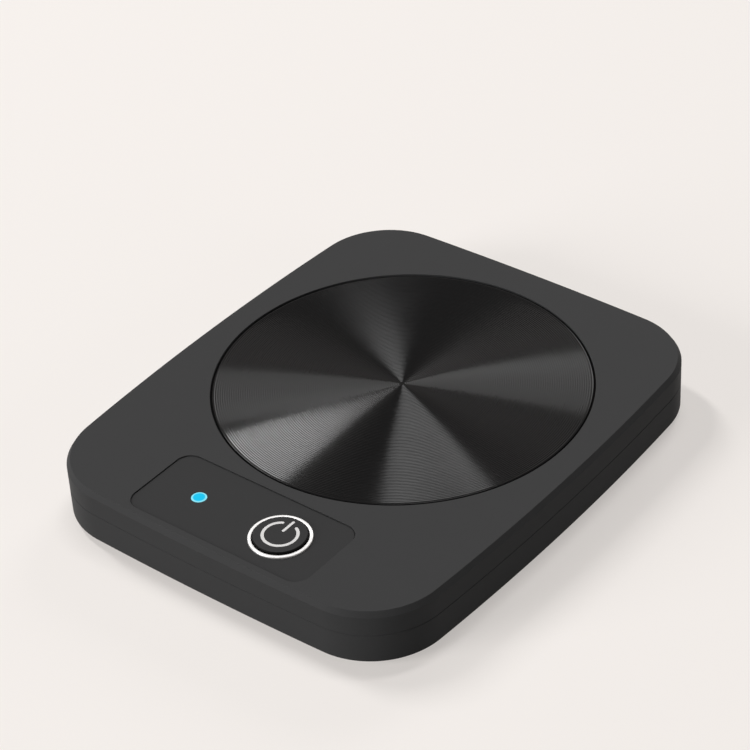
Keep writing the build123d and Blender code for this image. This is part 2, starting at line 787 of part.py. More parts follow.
with BuildPart() as microcontroller:
    with BuildSketch(Plane.XY.offset(board_top)):
        with Locations((chip_x, board_y + chip_y)):
            Rectangle(chip_length, chip_width)
    extrude(amount=chip_height)
    with BuildSketch(Plane.XY.offset(board_top)):
        with Locations((chip_x, board_y + chip_y)):
            with GridLocations(chip_pin_pitch, 1, chip_pin_count, 1):
                Rectangle(chip_pin_width, chip_width + 2 * chip_pin_reach)
    extrude(amount=chip_pin_thickness)
microcontroller.part.label = "microcontroller"
export_step(microcontroller.part, "parts/microcontroller.step")

with BuildPart() as power_transistor:
    with BuildSketch(Plane.XY.offset(board_top)):
        with Locations((transistor_x, board_y + transistor_y)):
            Rectangle(transistor_length, transistor_width)
    extrude(amount=transistor_height)
    with BuildSketch(Plane.XY.offset(board_top)):
        with Locations((transistor_x, board_y + transistor_y)):
            Rectangle(transistor_length, transistor_width + 2 * transistor_tab_length)
    extrude(amount=transistor_tab_thickness)
power_transistor.part.label = "power_transistor"
export_step(power_transistor.part, "parts/power_transistor.step")

with BuildPart() as smoothing_capacitor:
    with BuildSketch(Plane.XY.offset(board_top)):
        with Locations((capacitor_x, board_y + capacitor_y)):
            Rectangle(capacitor_base_side, capacitor_base_side)
    extrude(amount=capacitor_base_height)
    with BuildSketch(Plane.XY.offset(board_top)):
        with Locations((capacitor_x, board_y + capacitor_y)):
            Circle(capacitor_radius)
    extrude(amount=capacitor_height)
    chamfer(smoothing_capacitor.faces().sort_by(Axis.Z)[-1].edges(), capacitor_chamfer)
smoothing_capacitor.part.label = "smoothing_capacitor"
export_step(smoothing_capacitor.part, "parts/smoothing_capacitor.step")

connector_points = [(x, board_back - connector_depth / 2)
                    for x in (supply_connector_x, cutout_x, 0, lead_slot_x)]
with BuildPart() as board_connectors:
    with BuildSketch(Plane.XY.offset(board_top)):
        with Locations(*connector_points):
            Rectangle(connector_length, connector_depth)
    extrude(amount=connector_height)
board_connectors.part.label = "board_connectors"
export_step(board_connectors.part, "parts/board_connectors.step")

# ---------------------------------------------------------------- leads
pair_offsets = (-lead_pitch / 2, lead_pitch / 2)
heater_wires = [
    lead([(lead_slot_x + dx, lead_slot_y, heater_bottom),
          (lead_slot_x + dx, lead_slot_y, connector_z),
          (lead_slot_x + dx, board_back, connector_z)], lead_bend, lead_radius)
    for dx in pair_offsets]
with BuildPart() as heater_leads:
    add(heater_wires)
heater_leads.part.label = "heater_leads"
export_step(heater_leads.part, "parts/heater_leads.step")

sensor_bottom = pressure_plate_bottom - sensor_flange_thickness
with BuildPart() as sensor_leads:
    with BuildLine():
        FilletPolyline((0, plate_y, sensor_bottom), (0, plate_y, connector_z),
                       (0, board_back, connector_z), radius=sensor_lead_bend)
    with BuildSketch(Plane.XY.offset(sensor_bottom)):
        with Locations((0, plate_y)):
            Rectangle(sensor_lead_width, sensor_lead_thickness)
    sweep()
sensor_leads.part.label = "sensor_leads"
export_step(sensor_leads.part, "parts/sensor_leads.step")

cutout_front = cutout_y - cutout_length / 2
cutout_middle = pressure_plate_bottom - cutout_height / 2
cutout_wires = [
    lead([(cutout_x + dx, cutout_front, cutout_middle),
          (cutout_x + dx, cutout_front - supply_lead_tail, cutout_middle),
          (cutout_x + dx, board_back + supply_lead_tail, connector_z),
          (cutout_x + dx, board_back, connector_z)], lead_bend, lead_radius)
    for dx in pair_offsets]
with BuildPart() as cutout_leads:
    add(cutout_wires)
cutout_leads.part.label = "cutout_leads"
export_step(cutout_leads.part, "parts/cutout_leads.step")

lead_rest_z = floor_top + lead_radius + lead_floor_gap
supply_wires = [
    lead([(tail_x, tail_end, inlet_z),
          (tail_x, tail_end - supply_lead_tail, inlet_z),
          (supply_connector_x + dx, tail_end - supply_lead_tail - supply_lead_drop, lead_rest_z),
          (supply_connector_x + dx, board_back + supply_lead_tail + supply_lead_rise, lead_rest_z),
          (supply_connector_x + dx, board_back + supply_lead_tail, connector_z),
          (supply_connector_x + dx, board_back, connector_z)], lead_bend, lead_radius)
    for tail_x, dx in zip((inlet_x, inlet_x + leaf_offset), pair_offsets)]
with BuildPart() as supply_leads:
    add(supply_wires)
supply_leads.part.label = "supply_leads"
export_step(supply_leads.part, "parts/supply_leads.step")

# ---------------------------------------------------------------- power inlet
inlet_plane = Plane(origin=(inlet_x, inlet_front, inlet_z), x_dir=(-1, 0, 0), z_dir=(0, 1, 0))
with BuildPart() as power_inlet:
    with BuildSketch(inlet_plane):
        RectangleRounded(inlet_width, inlet_height, inlet_edge_radius)
    extrude(amount=-inlet_length)
    with BuildSketch(inlet_plane.offset(inlet_ear_front - inlet_front)):
        Rectangle(inlet_width + 2 * inlet_ear_width, inlet_height - 2 * inlet_edge_radius)
    extrude(amount=-inlet_ear_thickness)
    with BuildSketch(inlet_plane):
        Circle(inlet_bore_radius)
    extrude(amount=-inlet_bore_depth, mode=Mode.SUBTRACT)
    mouth = power_inlet.faces().sort_by(Axis.Y)[-1].edges().filter_by(GeomType.CIRCLE)
    chamfer(mouth.sort_by(SortBy.RADIUS)[-1], inlet_mouth_chamfer)
    # pocket beside the bore for the leaf contact
    with BuildSketch(inlet_plane):
        with Locations((-leaf_outside / 2, 0)):
            Rectangle(leaf_outside, leaf_width)
    extrude(amount=-inlet_bore_depth, mode=Mode.SUBTRACT)
    # the two contacts pass through the back wall
    with BuildSketch(inlet_plane):
        Circle(pin_radius)
        with Locations((-leaf_offset, 0)):
            Rectangle(leaf_thickness, leaf_width)
    extrude(amount=-inlet_length, mode=Mode.SUBTRACT)
power_inlet.part.label = "power_inlet"
export_step(power_inlet.part, "parts/power_inlet.step")

pin_plane = Plane(origin=(inlet_x, 0, inlet_z), x_dir=(0, 1, 0), z_dir=(1, 0, 0))
inlet_axis = Axis((inlet_x, 0, inlet_z), (0, 1, 0))
pin_tip = inlet_front - pin_setback
with BuildPart() as inlet_contacts:
    with BuildSketch(pin_plane) as pin_profile:
        with BuildLine():
            Polyline((tail_end, 0), (pin_tip, 0), (pin_tip, pin_radius),
                     (inlet_back, pin_radius), (inlet_back, tail_radius),
                     (tail_end, tail_radius), close=True)
        make_face()
        chamfer(pin_profile.vertices().group_by(Axis.X)[-1].sort_by(Axis.Y)[-1], pin_tip_chamfer)
    revolve(axis=inlet_axis)
    with BuildSketch(Plane.XZ.offset(-tail_end)):
        with Locations((inlet_x + leaf_offset, inlet_z)):
            Rectangle(leaf_thickness, leaf_width)
    extrude(amount=-(tail_length + inlet_length - inlet_bore_depth + leaf_length))
inlet_contacts.part.label = "inlet_contacts"
export_step(inlet_contacts.part, "parts/inlet_contacts.step")

# ---------------------------------------------------------------- case screws and feet
with BuildPart() as case_screws:
    with BuildSketch(Plane.XY.offset(case_head_seat - case_head_height)):
        with Locations(*case_screw_points):
            Circle(case_head_radius)
    extrude(amount=case_head_height)
    chamfer(case_screws.faces().group_by(Axis.Z)[0].edges(), head_chamfer)
    with BuildSketch(Plane.XY.offset(case_head_seat)):
        with Locations(*case_screw_points):
            Circle(case_screw_radius)
    extrude(amount=case_screw_length)
case_screws.part.label = "case_screws"
export_step(case_screws.part, "parts/case_screws.step")

with BuildPart() as rubber_feet:
    with BuildSketch():
        with Locations(*case_screw_points):
            Circle(foot_radius)
    extrude(amount=foot_height + foot_recess_depth)
    chamfer(rubber_feet.faces().group_by(Axis.Z)[0].edges(), foot_chamfer)
rubber_feet.part.label = "rubber_feet"
export_step(rubber_feet.part, "parts/rubber_feet.step")
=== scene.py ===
"""Electric mug warmer, dressed around its packed construction.

The construction gives the sizes, the bodies and the joint. This script makes the surfaces that
show: both shells of the case, the grooved heating plate, the gasket, the control panel with its
lamp and push button, the feet and the power inlet. Lengths are in millimetres until a mesh is
made, which is in metres.
"""

import logging
import math
from dataclasses import dataclass, field
from enum import Enum
from typing import Sequence, Union

import bmesh
import bpy
import numpy as np
from mathutils import Matrix, Quaternion, Vector
from mathutils.geometry import delaunay_2d_cdt


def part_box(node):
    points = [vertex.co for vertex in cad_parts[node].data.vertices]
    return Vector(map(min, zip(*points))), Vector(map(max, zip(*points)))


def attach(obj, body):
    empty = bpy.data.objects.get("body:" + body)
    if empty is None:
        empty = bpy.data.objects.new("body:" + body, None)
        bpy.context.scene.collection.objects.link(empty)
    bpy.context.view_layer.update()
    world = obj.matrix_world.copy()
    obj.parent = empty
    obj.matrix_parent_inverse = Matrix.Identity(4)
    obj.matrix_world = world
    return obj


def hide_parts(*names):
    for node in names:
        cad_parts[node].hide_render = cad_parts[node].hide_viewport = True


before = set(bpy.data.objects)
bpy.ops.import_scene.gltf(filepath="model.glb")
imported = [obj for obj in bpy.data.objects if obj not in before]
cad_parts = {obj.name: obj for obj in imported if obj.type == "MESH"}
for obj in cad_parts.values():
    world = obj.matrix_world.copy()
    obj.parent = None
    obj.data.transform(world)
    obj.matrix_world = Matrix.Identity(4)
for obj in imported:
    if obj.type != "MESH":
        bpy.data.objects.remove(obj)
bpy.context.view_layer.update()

log = logging.getLogger("mug_warmer")
MM = 0.001
Colour = tuple[float, float, float]
Socket = Union[bpy.types.NodeSocket, float, Colour]

# Sizes that the case and the control panel share.
PANEL_CORNER = 3.8
RING_HOLE = 6.785
LENS_HOLE = 1.85


# ---- the construction's sizes
@dataclass(frozen=True)
class Extent:
    """Lowest and highest corner of a construction node, in millimetres."""

    low: np.ndarray
    high: np.ndarray

    @classmethod
    def of(cls, node: str) -> "Extent":
        """The extent of the named node at rest."""
        low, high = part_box(node)
        return cls(np.array(low) / MM, np.array(high) / MM)

    @property
    def size(self) -> np.ndarray:
        """Length of each side."""
        return self.high - self.low

    @property
    def centre(self) -> np.ndarray:
        """Middle of the box."""
        return (self.low + self.high) / 2


def measured(node: str) -> Extent:
    """A class field that takes the extent of the named node."""
    return field(default_factory=lambda: Extent.of(node))


# ---- outlines and profiles
def headings(angles: np.ndarray) -> np.ndarray:
    """Unit vectors: cosine and sine of each angle, in radians."""
    return np.column_stack([np.cos(angles), np.sin(angles)])


@dataclass(frozen=True)
class Outline:
    """A closed convex outline made of arcs.

    Point i lies at its arc's centre plus the arc's radius in the direction of its own angle,
    which is also the outline's normal there. An outset adds to every radius, so that all loops
    of one outline are parallel and match point by point.
    """

    centres: np.ndarray
    radii: np.ndarray
    angles: np.ndarray

    @property
    def directions(self) -> np.ndarray:
        """The outline's normals."""
        return headings(self.angles)

    def loop(self, outset: float = 0.0) -> np.ndarray:
        """Points of the outline moved outwards by outset: centre + (radius + outset) * normal."""
        return self.centres + (self.radii + outset)[:, None] * self.directions

    def carry(self, profile: np.ndarray) -> np.ndarray:
        """Carries a profile along the outline.

        Args:
            profile: rows of outset and height.

        Returns:
            A grid of points, one row for each profile point and one column for each outline
            point: centre + (radius + outset) * normal, at the profile point's height.
        """
        reach = self.radii[None, :] + profile[:, :1]
        flat = self.centres[None] + reach[..., None] * self.directions[None]
        height = np.broadcast_to(profile[:, 1:2], reach.shape)
        return np.dstack([flat, height])


def outline_of_arcs(arcs: Sequence[tuple[Sequence[float], float, np.ndarray]]) -> Outline:
    """Joins arcs into one outline.

    Args:
        arcs: a centre, a radius and the angles of each.

    Returns:
        The outline, with a point for each angle.
    """
    centres = np.concatenate([np.tile(np.array(c, float), (len(a), 1)) for c, _, a in arcs])
    radii = np.concatenate([np.full(len(a), float(r)) for _, r, a in arcs])
    return Outline(centres, radii, np.concatenate([a for _, _, a in arcs]))


def circle(centre: Sequence[float], radius: float = 0.0, steps: int = 96) -> Outline:
    """A circle as one arc of a full turn."""
    turn = np.linspace(0.0, 2 * math.pi, steps, endpoint=False)
    return outline_of_arcs([(centre[:2], radius, turn)])


def rounded_rectangle(centre: Sequence[float], size: Sequence[float], radius: float,
                      steps: int = 16) -> Outline:
    """Four quarter turns about the corners' centres; the straight sides lie between them.

    Args:
        centre: the rectangle's middle.
        size: its overall size.
        radius: radius of the corners.
        steps: points of each corner.

    Returns:
        The outline, from the right end of the upper right corner round to the left.
    """
    half = np.array(size[:2], float) / 2 - radius
    middle = np.array(centre[:2], float)
    arcs = []
    for quarter, (sx, sy) in enumerate(((1, 1), (-1, 1), (-1, -1), (1, -1))):
        angles = np.linspace(quarter, quarter + 1, steps) * math.pi / 2
        arcs.append((middle + half * (sx, sy), radius, angles))
    return outline_of_arcs(arcs)


def bow_radius(half_length: float, bow: float) -> float:
    """Radius of the arc that falls by bow over half_length: (half^2 + bow^2) / (2 bow)."""
    return (half_length ** 2 + bow ** 2) / (2 * bow)


def bowed_case(width: float, depth: float, side_bow: float, end_bow: float, corner: float,
               back_marks: Sequence[float], side_steps: int = 48,
               corner_steps: int = 36) -> Outline:
    """The case's outline: four long arcs joined by round corners.

    A side's arc is centred on the middle line, its radius less half the width beyond it. A
    corner's centre lies a corner radius inside both neighbours, where two circles about the long
    arcs' centres meet.

    Args:
        width: overall size across, between the sides' middles.
        depth: overall size from front to back, between the ends' middles.
        side_bow: how far a side bulges past its ends.
        end_bow: the same for the front and the back.
        corner: radius of the corners.
        back_marks: places across the back that have to be points of the outline.
        side_steps: points of each long arc.
        corner_steps: points of each corner.

    Returns:
        The outline, from the front end of the right side round to the left.
    """
    side, end = bow_radius(depth / 2, side_bow), bow_radius(width / 2, end_bow)
    side_middle, end_middle = side - width / 2, end - depth / 2
    near_side, near_end = side - corner, end - corner
    span = math.hypot(side_middle, end_middle)
    along = (span ** 2 + near_side ** 2 - near_end ** 2) / (2 * span)
    aside = math.sqrt(near_side ** 2 - along ** 2)
    unit = np.array([side_middle, -end_middle]) / span
    inside = np.array([-side_middle, 0.0]) + along * unit + aside * np.array([-unit[1], unit[0]])
    side_angle = math.atan2(inside[1], inside[0] + side_middle)
    end_angle = math.atan2(inside[1] + end_middle, inside[0])

    def turn(start: float, stop: float, steps: int) -> np.ndarray:
        """Angles from start up to stop, which the next arc has."""
        return np.linspace(start, stop, steps, endpoint=False)

    back = turn(end_angle, math.pi - end_angle, side_steps)
    back = np.sort(np.append(back, [math.acos(x / end) for x in back_marks]))
    return outline_of_arcs([
        ((-side_middle, 0), side, turn(-side_angle, side_angle, side_steps)),
        ((inside[0], inside[1]), corner, turn(side_angle, end_angle, corner_steps)),
        ((0, -end_middle), end, back),
        ((-inside[0], inside[1]), corner,
         turn(math.pi - end_angle, math.pi - side_angle, corner_steps)),
        ((side_middle, 0), side, turn(math.pi - side_angle, math.pi + side_angle, side_steps)),
        ((-inside[0], -inside[1]), corner,
         turn(math.pi + side_angle, math.pi + end_angle, corner_steps)),
        ((0, end_middle), end, turn(math.pi + end_angle, 2 * math.pi - end_angle, side_steps)),
        ((inside[0], -inside[1]), corner,
         turn(2 * math.pi - end_angle, 2 * math.pi - side_angle, corner_steps))])


def rounding(centre: Sequence[float], radius: float, start: float, stop: float,
             steps: int = 10) -> np.ndarray:
    """A round stretch of a profile: centre + radius * (cosine, sine), angles in degrees."""
    return np.array(centre) + radius * headings(np.radians(np.linspace(start, stop, steps + 1)))


def eased_slope(inset: float, top: float, drop: float, soft: float,
                steps: int = 5) -> tuple[np.ndarray, float]:
    """The sloped edge between a deck and a wall, with both of its corners a little soft.

    A corner that turns by an angle and is rounded by a radius starts and ends at radius times
    the tangent of half the angle from the sharp corner.

    Args:
        inset: how far the slope runs in from the wall.
        top: the deck's height.
        drop: how far the slope runs down from the deck.
        soft: radius of the two corners.
        steps: faces of each corner.

    Returns:
        The profile from the deck to the wall, and how far in the deck's flat ends.
    """
    slope = math.degrees(math.atan2(inset, drop))
    upper = soft * math.tan(math.radians(90 - slope) / 2)
    lower = soft * math.tan(math.radians(slope) / 2)
    first = rounding((-inset - upper, top - soft), soft, 90, slope, steps)
    second = rounding((-soft, top - drop - lower), soft, slope, 0, steps)
    return np.concatenate([first, second]), inset + upper


def soft_lip(inside: float, outside: float, top: float, soft: float, steps: int) -> np.ndarray:
    """A flat lip between two radii, with a quarter turn of radius soft at each edge."""
    return np.concatenate([rounding((inside + soft, top - soft), soft, 180, 90, steps),
                           rounding((outside - soft, top - soft), soft, 90, 0, steps)])


def profile_of(*stretches: Sequence) -> np.ndarray:
    """Joins points and round stretches into one profile of outset and height."""
    return np.concatenate([np.array(s, float).reshape(-1, 2) for s in stretches])


# ---- meshes
class Upright(Enum):
    """The direction that a profile's height runs in."""

    UP = (0, 1, 2)
    BACK = (0, 2, 1)


class Skin:
    """Collects the grids and flat faces of one piece and makes its mesh."""

    INSIDE_LESS_HOLES = 2
    PLANE_GAP = 1e-6
    WELD_GAP = 1e-7

    def __init__(self, upright: Upright = Upright.UP) -> None:
        """Starts an empty skin.

        Args:
            upright: the direction that its heights run in.
        """
        self.upright = upright
        self.points: list[np.ndarray] = []
        self.faces: list[list[int]] = []
        self.count = 0

    def add_points(self, points: np.ndarray) -> int:
        """Takes points in.

        Args:
            points: an array whose last axis is a place.

        Returns:
            The number of the first one.
        """
        first = self.count
        flat = points.reshape(-1, 3)
        self.points.append(flat)
        self.count += len(flat)
        return first

    def grid(self, points: np.ndarray, closed: bool = True,
             drop: np.ndarray | None = None) -> None:
        """Joins a grid of points by quads.

        Args:
            points: rows by columns by three.
            closed: whether the last column joins the first.
            drop: mask of the quads that are left out, rows less one by columns.
        """
        rows, columns = points.shape[:2]
        first = self.add_points(points)
        index = first + np.arange(rows * columns).reshape(rows, columns)
        if closed:
            index = np.concatenate([index, index[:, :1]], axis=1)
        quads = np.stack([index[:-1, :-1], index[:-1, 1:], index[1:, 1:], index[1:, :-1]], axis=-1)
        kept = quads if drop is None else quads[~drop]
        self.faces += kept.reshape(-1, 4).tolist()

    def carry(self, outline: Outline, *stretches: Sequence) -> None:
        """Carries a profile, given as points and round stretches, round an outline."""
        self.grid(outline.carry(profile_of(*stretches)))

    def notched(self, outline: Outline, profile: np.ndarray, rows: slice, columns: slice) -> None:
        """Carries a profile round an outline and leaves a notch in it.

        Args:
            outline: the outline that the profile follows.
            profile: rows of outset and height.
            rows: the profile points that the notch takes away, its two ends included.
            columns: the outline points that the notch takes away, its two ends included.
        """
        points = outline.carry(profile)
        drop = np.zeros((points.shape[0] - 1, points.shape[1]), bool)
        drop[rows.start:rows.stop - 1, columns.start:columns.stop - 1] = True
        self.grid(points, drop=drop)
        edges = points[[rows.start, rows.stop - 1], columns]
        self.grid(edges, closed=False)
        for column in (columns.start, columns.stop - 1):
            cheek = points[rows, column]
            first = self.add_points(cheek)
            self.faces.append(list(range(first, first + len(cheek))))

    def plate(self, height: float, edge: np.ndarray, holes: Sequence[np.ndarray] = ()) -> None:
        """A flat face inside a loop, with a hole for each further loop (Delaunay triangles).

        Args:
            height: the face's height.
            edge: the outer loop.
            holes: the inner loops.
        """
        loops = [edge, *holes]
        starts = np.cumsum([0] + [len(each) for each in loops])
        rims = [list(range(start, start + len(each))) for start, each in zip(starts, loops)]
        corners, _, triangles, *_ = delaunay_2d_cdt(
            [Vector(p) for p in np.concatenate(loops)], [], rims, self.INSIDE_LESS_HOLES,
            self.PLANE_GAP)
        level = np.column_stack([np.array(corners), np.full(len(corners), height)])
        first = self.add_points(level)
        self.faces += [[first + i for i in triangle] for triangle in triangles]

    def mesh(self, name: str, sharp: float) -> bpy.types.Mesh:
        """The skin's mesh, welded and with its faces outwards.

        Args:
            name: the mesh's name.
            sharp: edges that turn by more than this many degrees stay sharp.

        Returns:
            The mesh, in metres.
        """
        points = np.concatenate(self.points)[:, self.upright.value] * MM
        mesh = bpy.data.meshes.new(name)
        mesh.from_pydata(points.tolist(), [], self.faces)
        work = bmesh.new()
        work.from_mesh(mesh)
        bmesh.ops.remove_doubles(work, verts=work.verts, dist=self.WELD_GAP)
        bmesh.ops.recalc_face_normals(work, faces=work.faces)
        work.to_mesh(mesh)
        work.free()
        mesh.shade_smooth()
        mesh.set_sharp_from_angle(angle=math.radians(sharp))
        return mesh

    def settle(self, name: str, finish: "Finish", replaces: Sequence[str] = (),
               body: str = "base", sharp: float = 32.0) -> None:
        """Makes the piece, dresses it, and lets it ride on its body.

        Args:
            name: the piece's name.
            finish: what it is dressed in.
            replaces: the construction's nodes that it stands for.
            body: the body that it rides on.
            sharp: edges that turn by more than this many degrees stay sharp.
        """
        mesh = self.mesh(name, sharp)
        mesh.materials.append(finish.material())
        piece = bpy.data.objects.new(name, mesh)
        bpy.context.scene.collection.objects.link(piece)
        weighted = piece.modifiers.new("even_normals", "WEIGHTED_NORMAL")
        weighted.keep_sharp = True
        if replaces:
            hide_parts(*replaces)
        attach(piece, body)
        log.info("%s: %d faces, %s, on body %s", name, len(mesh.polygons), finish.name, body)


# ---- finishes
class Wiring:
    """Adds and joins the nodes of one tree."""

    # The mix node's sockets that take and give colours have the same names as others have.
    COLOUR_A, COLOUR_B, COLOUR_OUT = 6, 7, 2

    def __init__(self, tree: bpy.types.NodeTree) -> None:
        """Takes a tree and empties it."""
        tree.nodes.clear()
        self.tree = tree

    def feed(self, socket: bpy.types.NodeSocket, value: Socket) -> None:
        """Feeds a socket.

        Args:
            socket: the input.
            value: another node's output to link, or a number or a colour to write.
        """
        if isinstance(value, bpy.types.NodeSocket):
            self.tree.links.new(value, socket)
        elif isinstance(value, tuple) and len(value) == 3 and socket.type == "RGBA":
            socket.default_value = (*value, 1.0)
        else:
            socket.default_value = value

    def add(self, kind: str, inputs: dict[Union[str, int], Socket] | None = None,
            **settings: object) -> bpy.types.Node:
        """Adds a node.

        Args:
            kind: the node's type.
            inputs: what its inputs are fed with, by name or number.
            settings: its properties.

        Returns:
            The node.
        """
        node = self.tree.nodes.new(kind)
        for key, value in settings.items():
            setattr(node, key, value)
        for key, value in (inputs or {}).items():
            self.feed(node.inputs[key], value)
        return node

    def sum(self, operation: str, *terms: Socket) -> bpy.types.NodeSocket:
        """One step of arithmetic on numbers."""
        return self.add("ShaderNodeMath", dict(enumerate(terms)), operation=operation).outputs[0]

    def spread(self, factor: Socket, low: float, high: float) -> bpy.types.NodeSocket:
        """Maps a factor of 0 to 1 on low to high."""
        inputs = {"Value": factor, "To Min": low, "To Max": high}
        return self.add("ShaderNodeMapRange", inputs).outputs["Result"]

    def blend(self, factor: Socket, first: Socket, second: Socket) -> bpy.types.NodeSocket:
        """Mixes two colours, the first at a factor of 0 and the second at 1."""
        inputs = {"Factor": factor, self.COLOUR_A: first, self.COLOUR_B: second}
        return self.add("ShaderNodeMix", inputs, data_type="RGBA").outputs[self.COLOUR_OUT]

    def ramp(self, factor: Socket,
             stops: Sequence[tuple[float, Colour]]) -> bpy.types.NodeSocket:
        """Runs through colours.

        Args:
            factor: what rises from the first stop to the last.
            stops: places from 0 to 1 and their colours.

        Returns:
            The colour, which changes straight from stop to stop.
        """
        node = self.add("ShaderNodeValToRGB", {"Fac": factor})
        elements = node.color_ramp.elements
        for position, _ in stops[2:]:
            elements.new(position)
        for element, (position, colour) in zip(elements, stops):
            element.position = position
            element.color = (*colour, 1.0)
        return node.outputs["Color"]

    def seen_directly(self) -> bpy.types.NodeSocket:
        """Tells rays that see a surface from rays that are lit by it.

        Returns:
            One for the camera, a reflection or clear material, and otherwise nought.
        """
        path = self.add("ShaderNodeLightPath")
        camera, gloss, clear = (path.outputs[f"Is {kind} Ray"]
                                for kind in ("Camera", "Glossy", "Transmission"))
        return self.sum("MAXIMUM", self.sum("MAXIMUM", camera, gloss), clear)


class Paint(Wiring):
    """The nodes of one material, which has a principled shader and object coordinates."""

    def __init__(self, name: str) -> None:
        """Starts the material.

        Args:
            name: the material's name.
        """
        self.made = bpy.data.materials.new(name)
        self.made.use_nodes = True
        super().__init__(self.made.node_tree)
        self.output = self.add("ShaderNodeOutputMaterial").inputs["Surface"]
        self.shader = self.add("ShaderNodeBsdfPrincipled")
        self.feed(self.output, self.shader.outputs["BSDF"])
        self.place = self.add("ShaderNodeTexCoord").outputs["Object"]

    def noise(self, grain: float, detail: float, roughness: float = 0.5,
              place: Socket | None = None) -> bpy.types.NodeSocket:
        """Noise over the object.

        Args:
            grain: about how many millimetres its features are across.
            detail: how many finer layers it has.
            roughness: how strong the finer layers are.
            place: coordinates other than the object's own.

        Returns:
            The noise, from 0 to 1.
        """
        node = self.add("ShaderNodeTexNoise", {
            "Vector": place or self.place, "Scale": 1 / (grain * MM), "Detail": detail,
            "Roughness": roughness})
        return node.outputs["Fac"]

    def noise_along(self, factor: Socket, rate: float, detail: float) -> bpy.types.NodeSocket:
        """Noise that runs with one number and changes rate times while it grows by one."""
        inputs = {"W": factor, "Scale": rate, "Detail": detail}
        return self.add("ShaderNodeTexNoise", inputs, noise_dimensions="1D").outputs["Fac"]

    def bump(self, height: Socket, depth: float) -> bpy.types.NodeSocket:
        """Turns a height of 0 to 1 into a relief of depth millimetres."""
        inputs = {"Height": height, "Distance": depth * MM, "Strength": 1.0}
        return self.add("ShaderNodeBump", inputs).outputs["Normal"]

    def from_axis(self, centre: Sequence[float]) -> tuple[bpy.types.NodeSocket, ...]:
        """Measures from an upright line.

        Args:
            centre: the line's place, across and back.

        Returns:
            The distance from the line in metres, and the place as seen from above.
        """
        moved = self.add("ShaderNodeMapping", {
            "Vector": self.place, "Location": (-centre[0] * MM, -centre[1] * MM, 0.0),
            "Scale": (1.0, 1.0, 0.0)}).outputs["Vector"]
        length = self.add("ShaderNodeVectorMath", {0: moved}, operation="LENGTH")
        return length.outputs["Value"], moved


@dataclass(frozen=True)
class Finish:
    """A plain finish: a colour that varies a little, a roughness and a fine grain."""

    name: str
    colour: Colour
    roughness: float
    metallic: float = 0.0
    specular: float = 0.5
    ior: float = 1.5
    mottle: float = 0.06
    mottle_grain: float = 6.0
    rough_spread: float = 0.04
    grain: float = 0.25
    relief: float = 0.004

    def material(self) -> bpy.types.Material:
        """The finish's material, made once.

        Returns:
            The material that has the finish's label.
        """
        label = f"{self.name}_finish"
        found = bpy.data.materials.get(label)
        if found is not None:
            return found
        wiring = Paint(label)
        wiring.feed(wiring.shader.inputs["Metallic"], self.metallic)
        wiring.feed(wiring.shader.inputs["Specular IOR Level"], self.specular)
        wiring.feed(wiring.shader.inputs["IOR"], self.ior)
        self.dress(wiring)
        return wiring.made

    def shade(self, share: float) -> Colour:
        """The finish's colour times a share."""
        return tuple(c * share for c in self.colour)

    def lay(self, wiring: Paint, tone: Socket, wear: Socket, marks: Socket) -> None:
        """Lays the finish on a shader.

        Args:
            wiring: the material's nodes.
            tone: what darkens and lightens the colour by the mottle.
            wear: what varies the roughness by its spread.
            marks: the height of the relief.
        """
        inputs = wiring.shader.inputs
        wiring.feed(inputs["Base Color"], wiring.blend(
            tone, self.shade(1 - self.mottle), self.shade(1 + self.mottle)))
        wiring.feed(inputs["Roughness"], wiring.spread(
            wear, self.roughness - self.rough_spread, self.roughness + self.rough_spread))
        wiring.feed(inputs["Normal"], wiring.bump(marks, self.relief))

    def dress(self, wiring: Paint) -> None:
        """Adds the finish's own colour, roughness and relief."""
        grain = wiring.noise(self.grain, detail=1.0)
        self.lay(wiring, wiring.noise(self.mottle_grain, detail=3.0), grain, grain)


@dataclass(frozen=True)
class GroovedCoating(Finish):
    """Gloss coating on turned metal: each groove has its own tone and fine turning marks."""

    centre: tuple[float, float] = (0.0, 0.0)
    pitch: float = 0.53
    marks_per_groove: float = 6.0
    smear_grain: float = 14.0

    def dress(self, wiring: Paint) -> None:
        """Tones the coating by a noise that runs with the distance from the plate's axis.

        Args:
            wiring: the material's nodes.
        """
        reach, flat = wiring.from_axis(self.centre)
        groove = wiring.sum("DIVIDE", reach, self.pitch * MM)
        self.lay(wiring, wiring.noise_along(groove, rate=1.0, detail=1.0),
                 wiring.noise(self.smear_grain, detail=3.0, place=flat),
                 wiring.noise_along(groove, self.marks_per_groove, detail=2.0))


@dataclass(frozen=True)
class BrushedMetal(Finish):
    """Metal with fine marks along one direction of the object."""

    stretch: tuple[float, float, float] = (1.0, 0.04, 1.0)

    def dress(self, wiring: Paint) -> None:
        """Stretches the grain along one direction.

        Args:
            wiring: the material's nodes.
        """
        lines = wiring.add("ShaderNodeMapping", {
            "Vector": wiring.place, "Scale": self.stretch}).outputs["Vector"]
        grain = wiring.noise(self.grain, detail=3.0, roughness=0.6, place=lines)
        self.lay(wiring, wiring.noise(self.mottle_grain, detail=2.0), grain, grain)


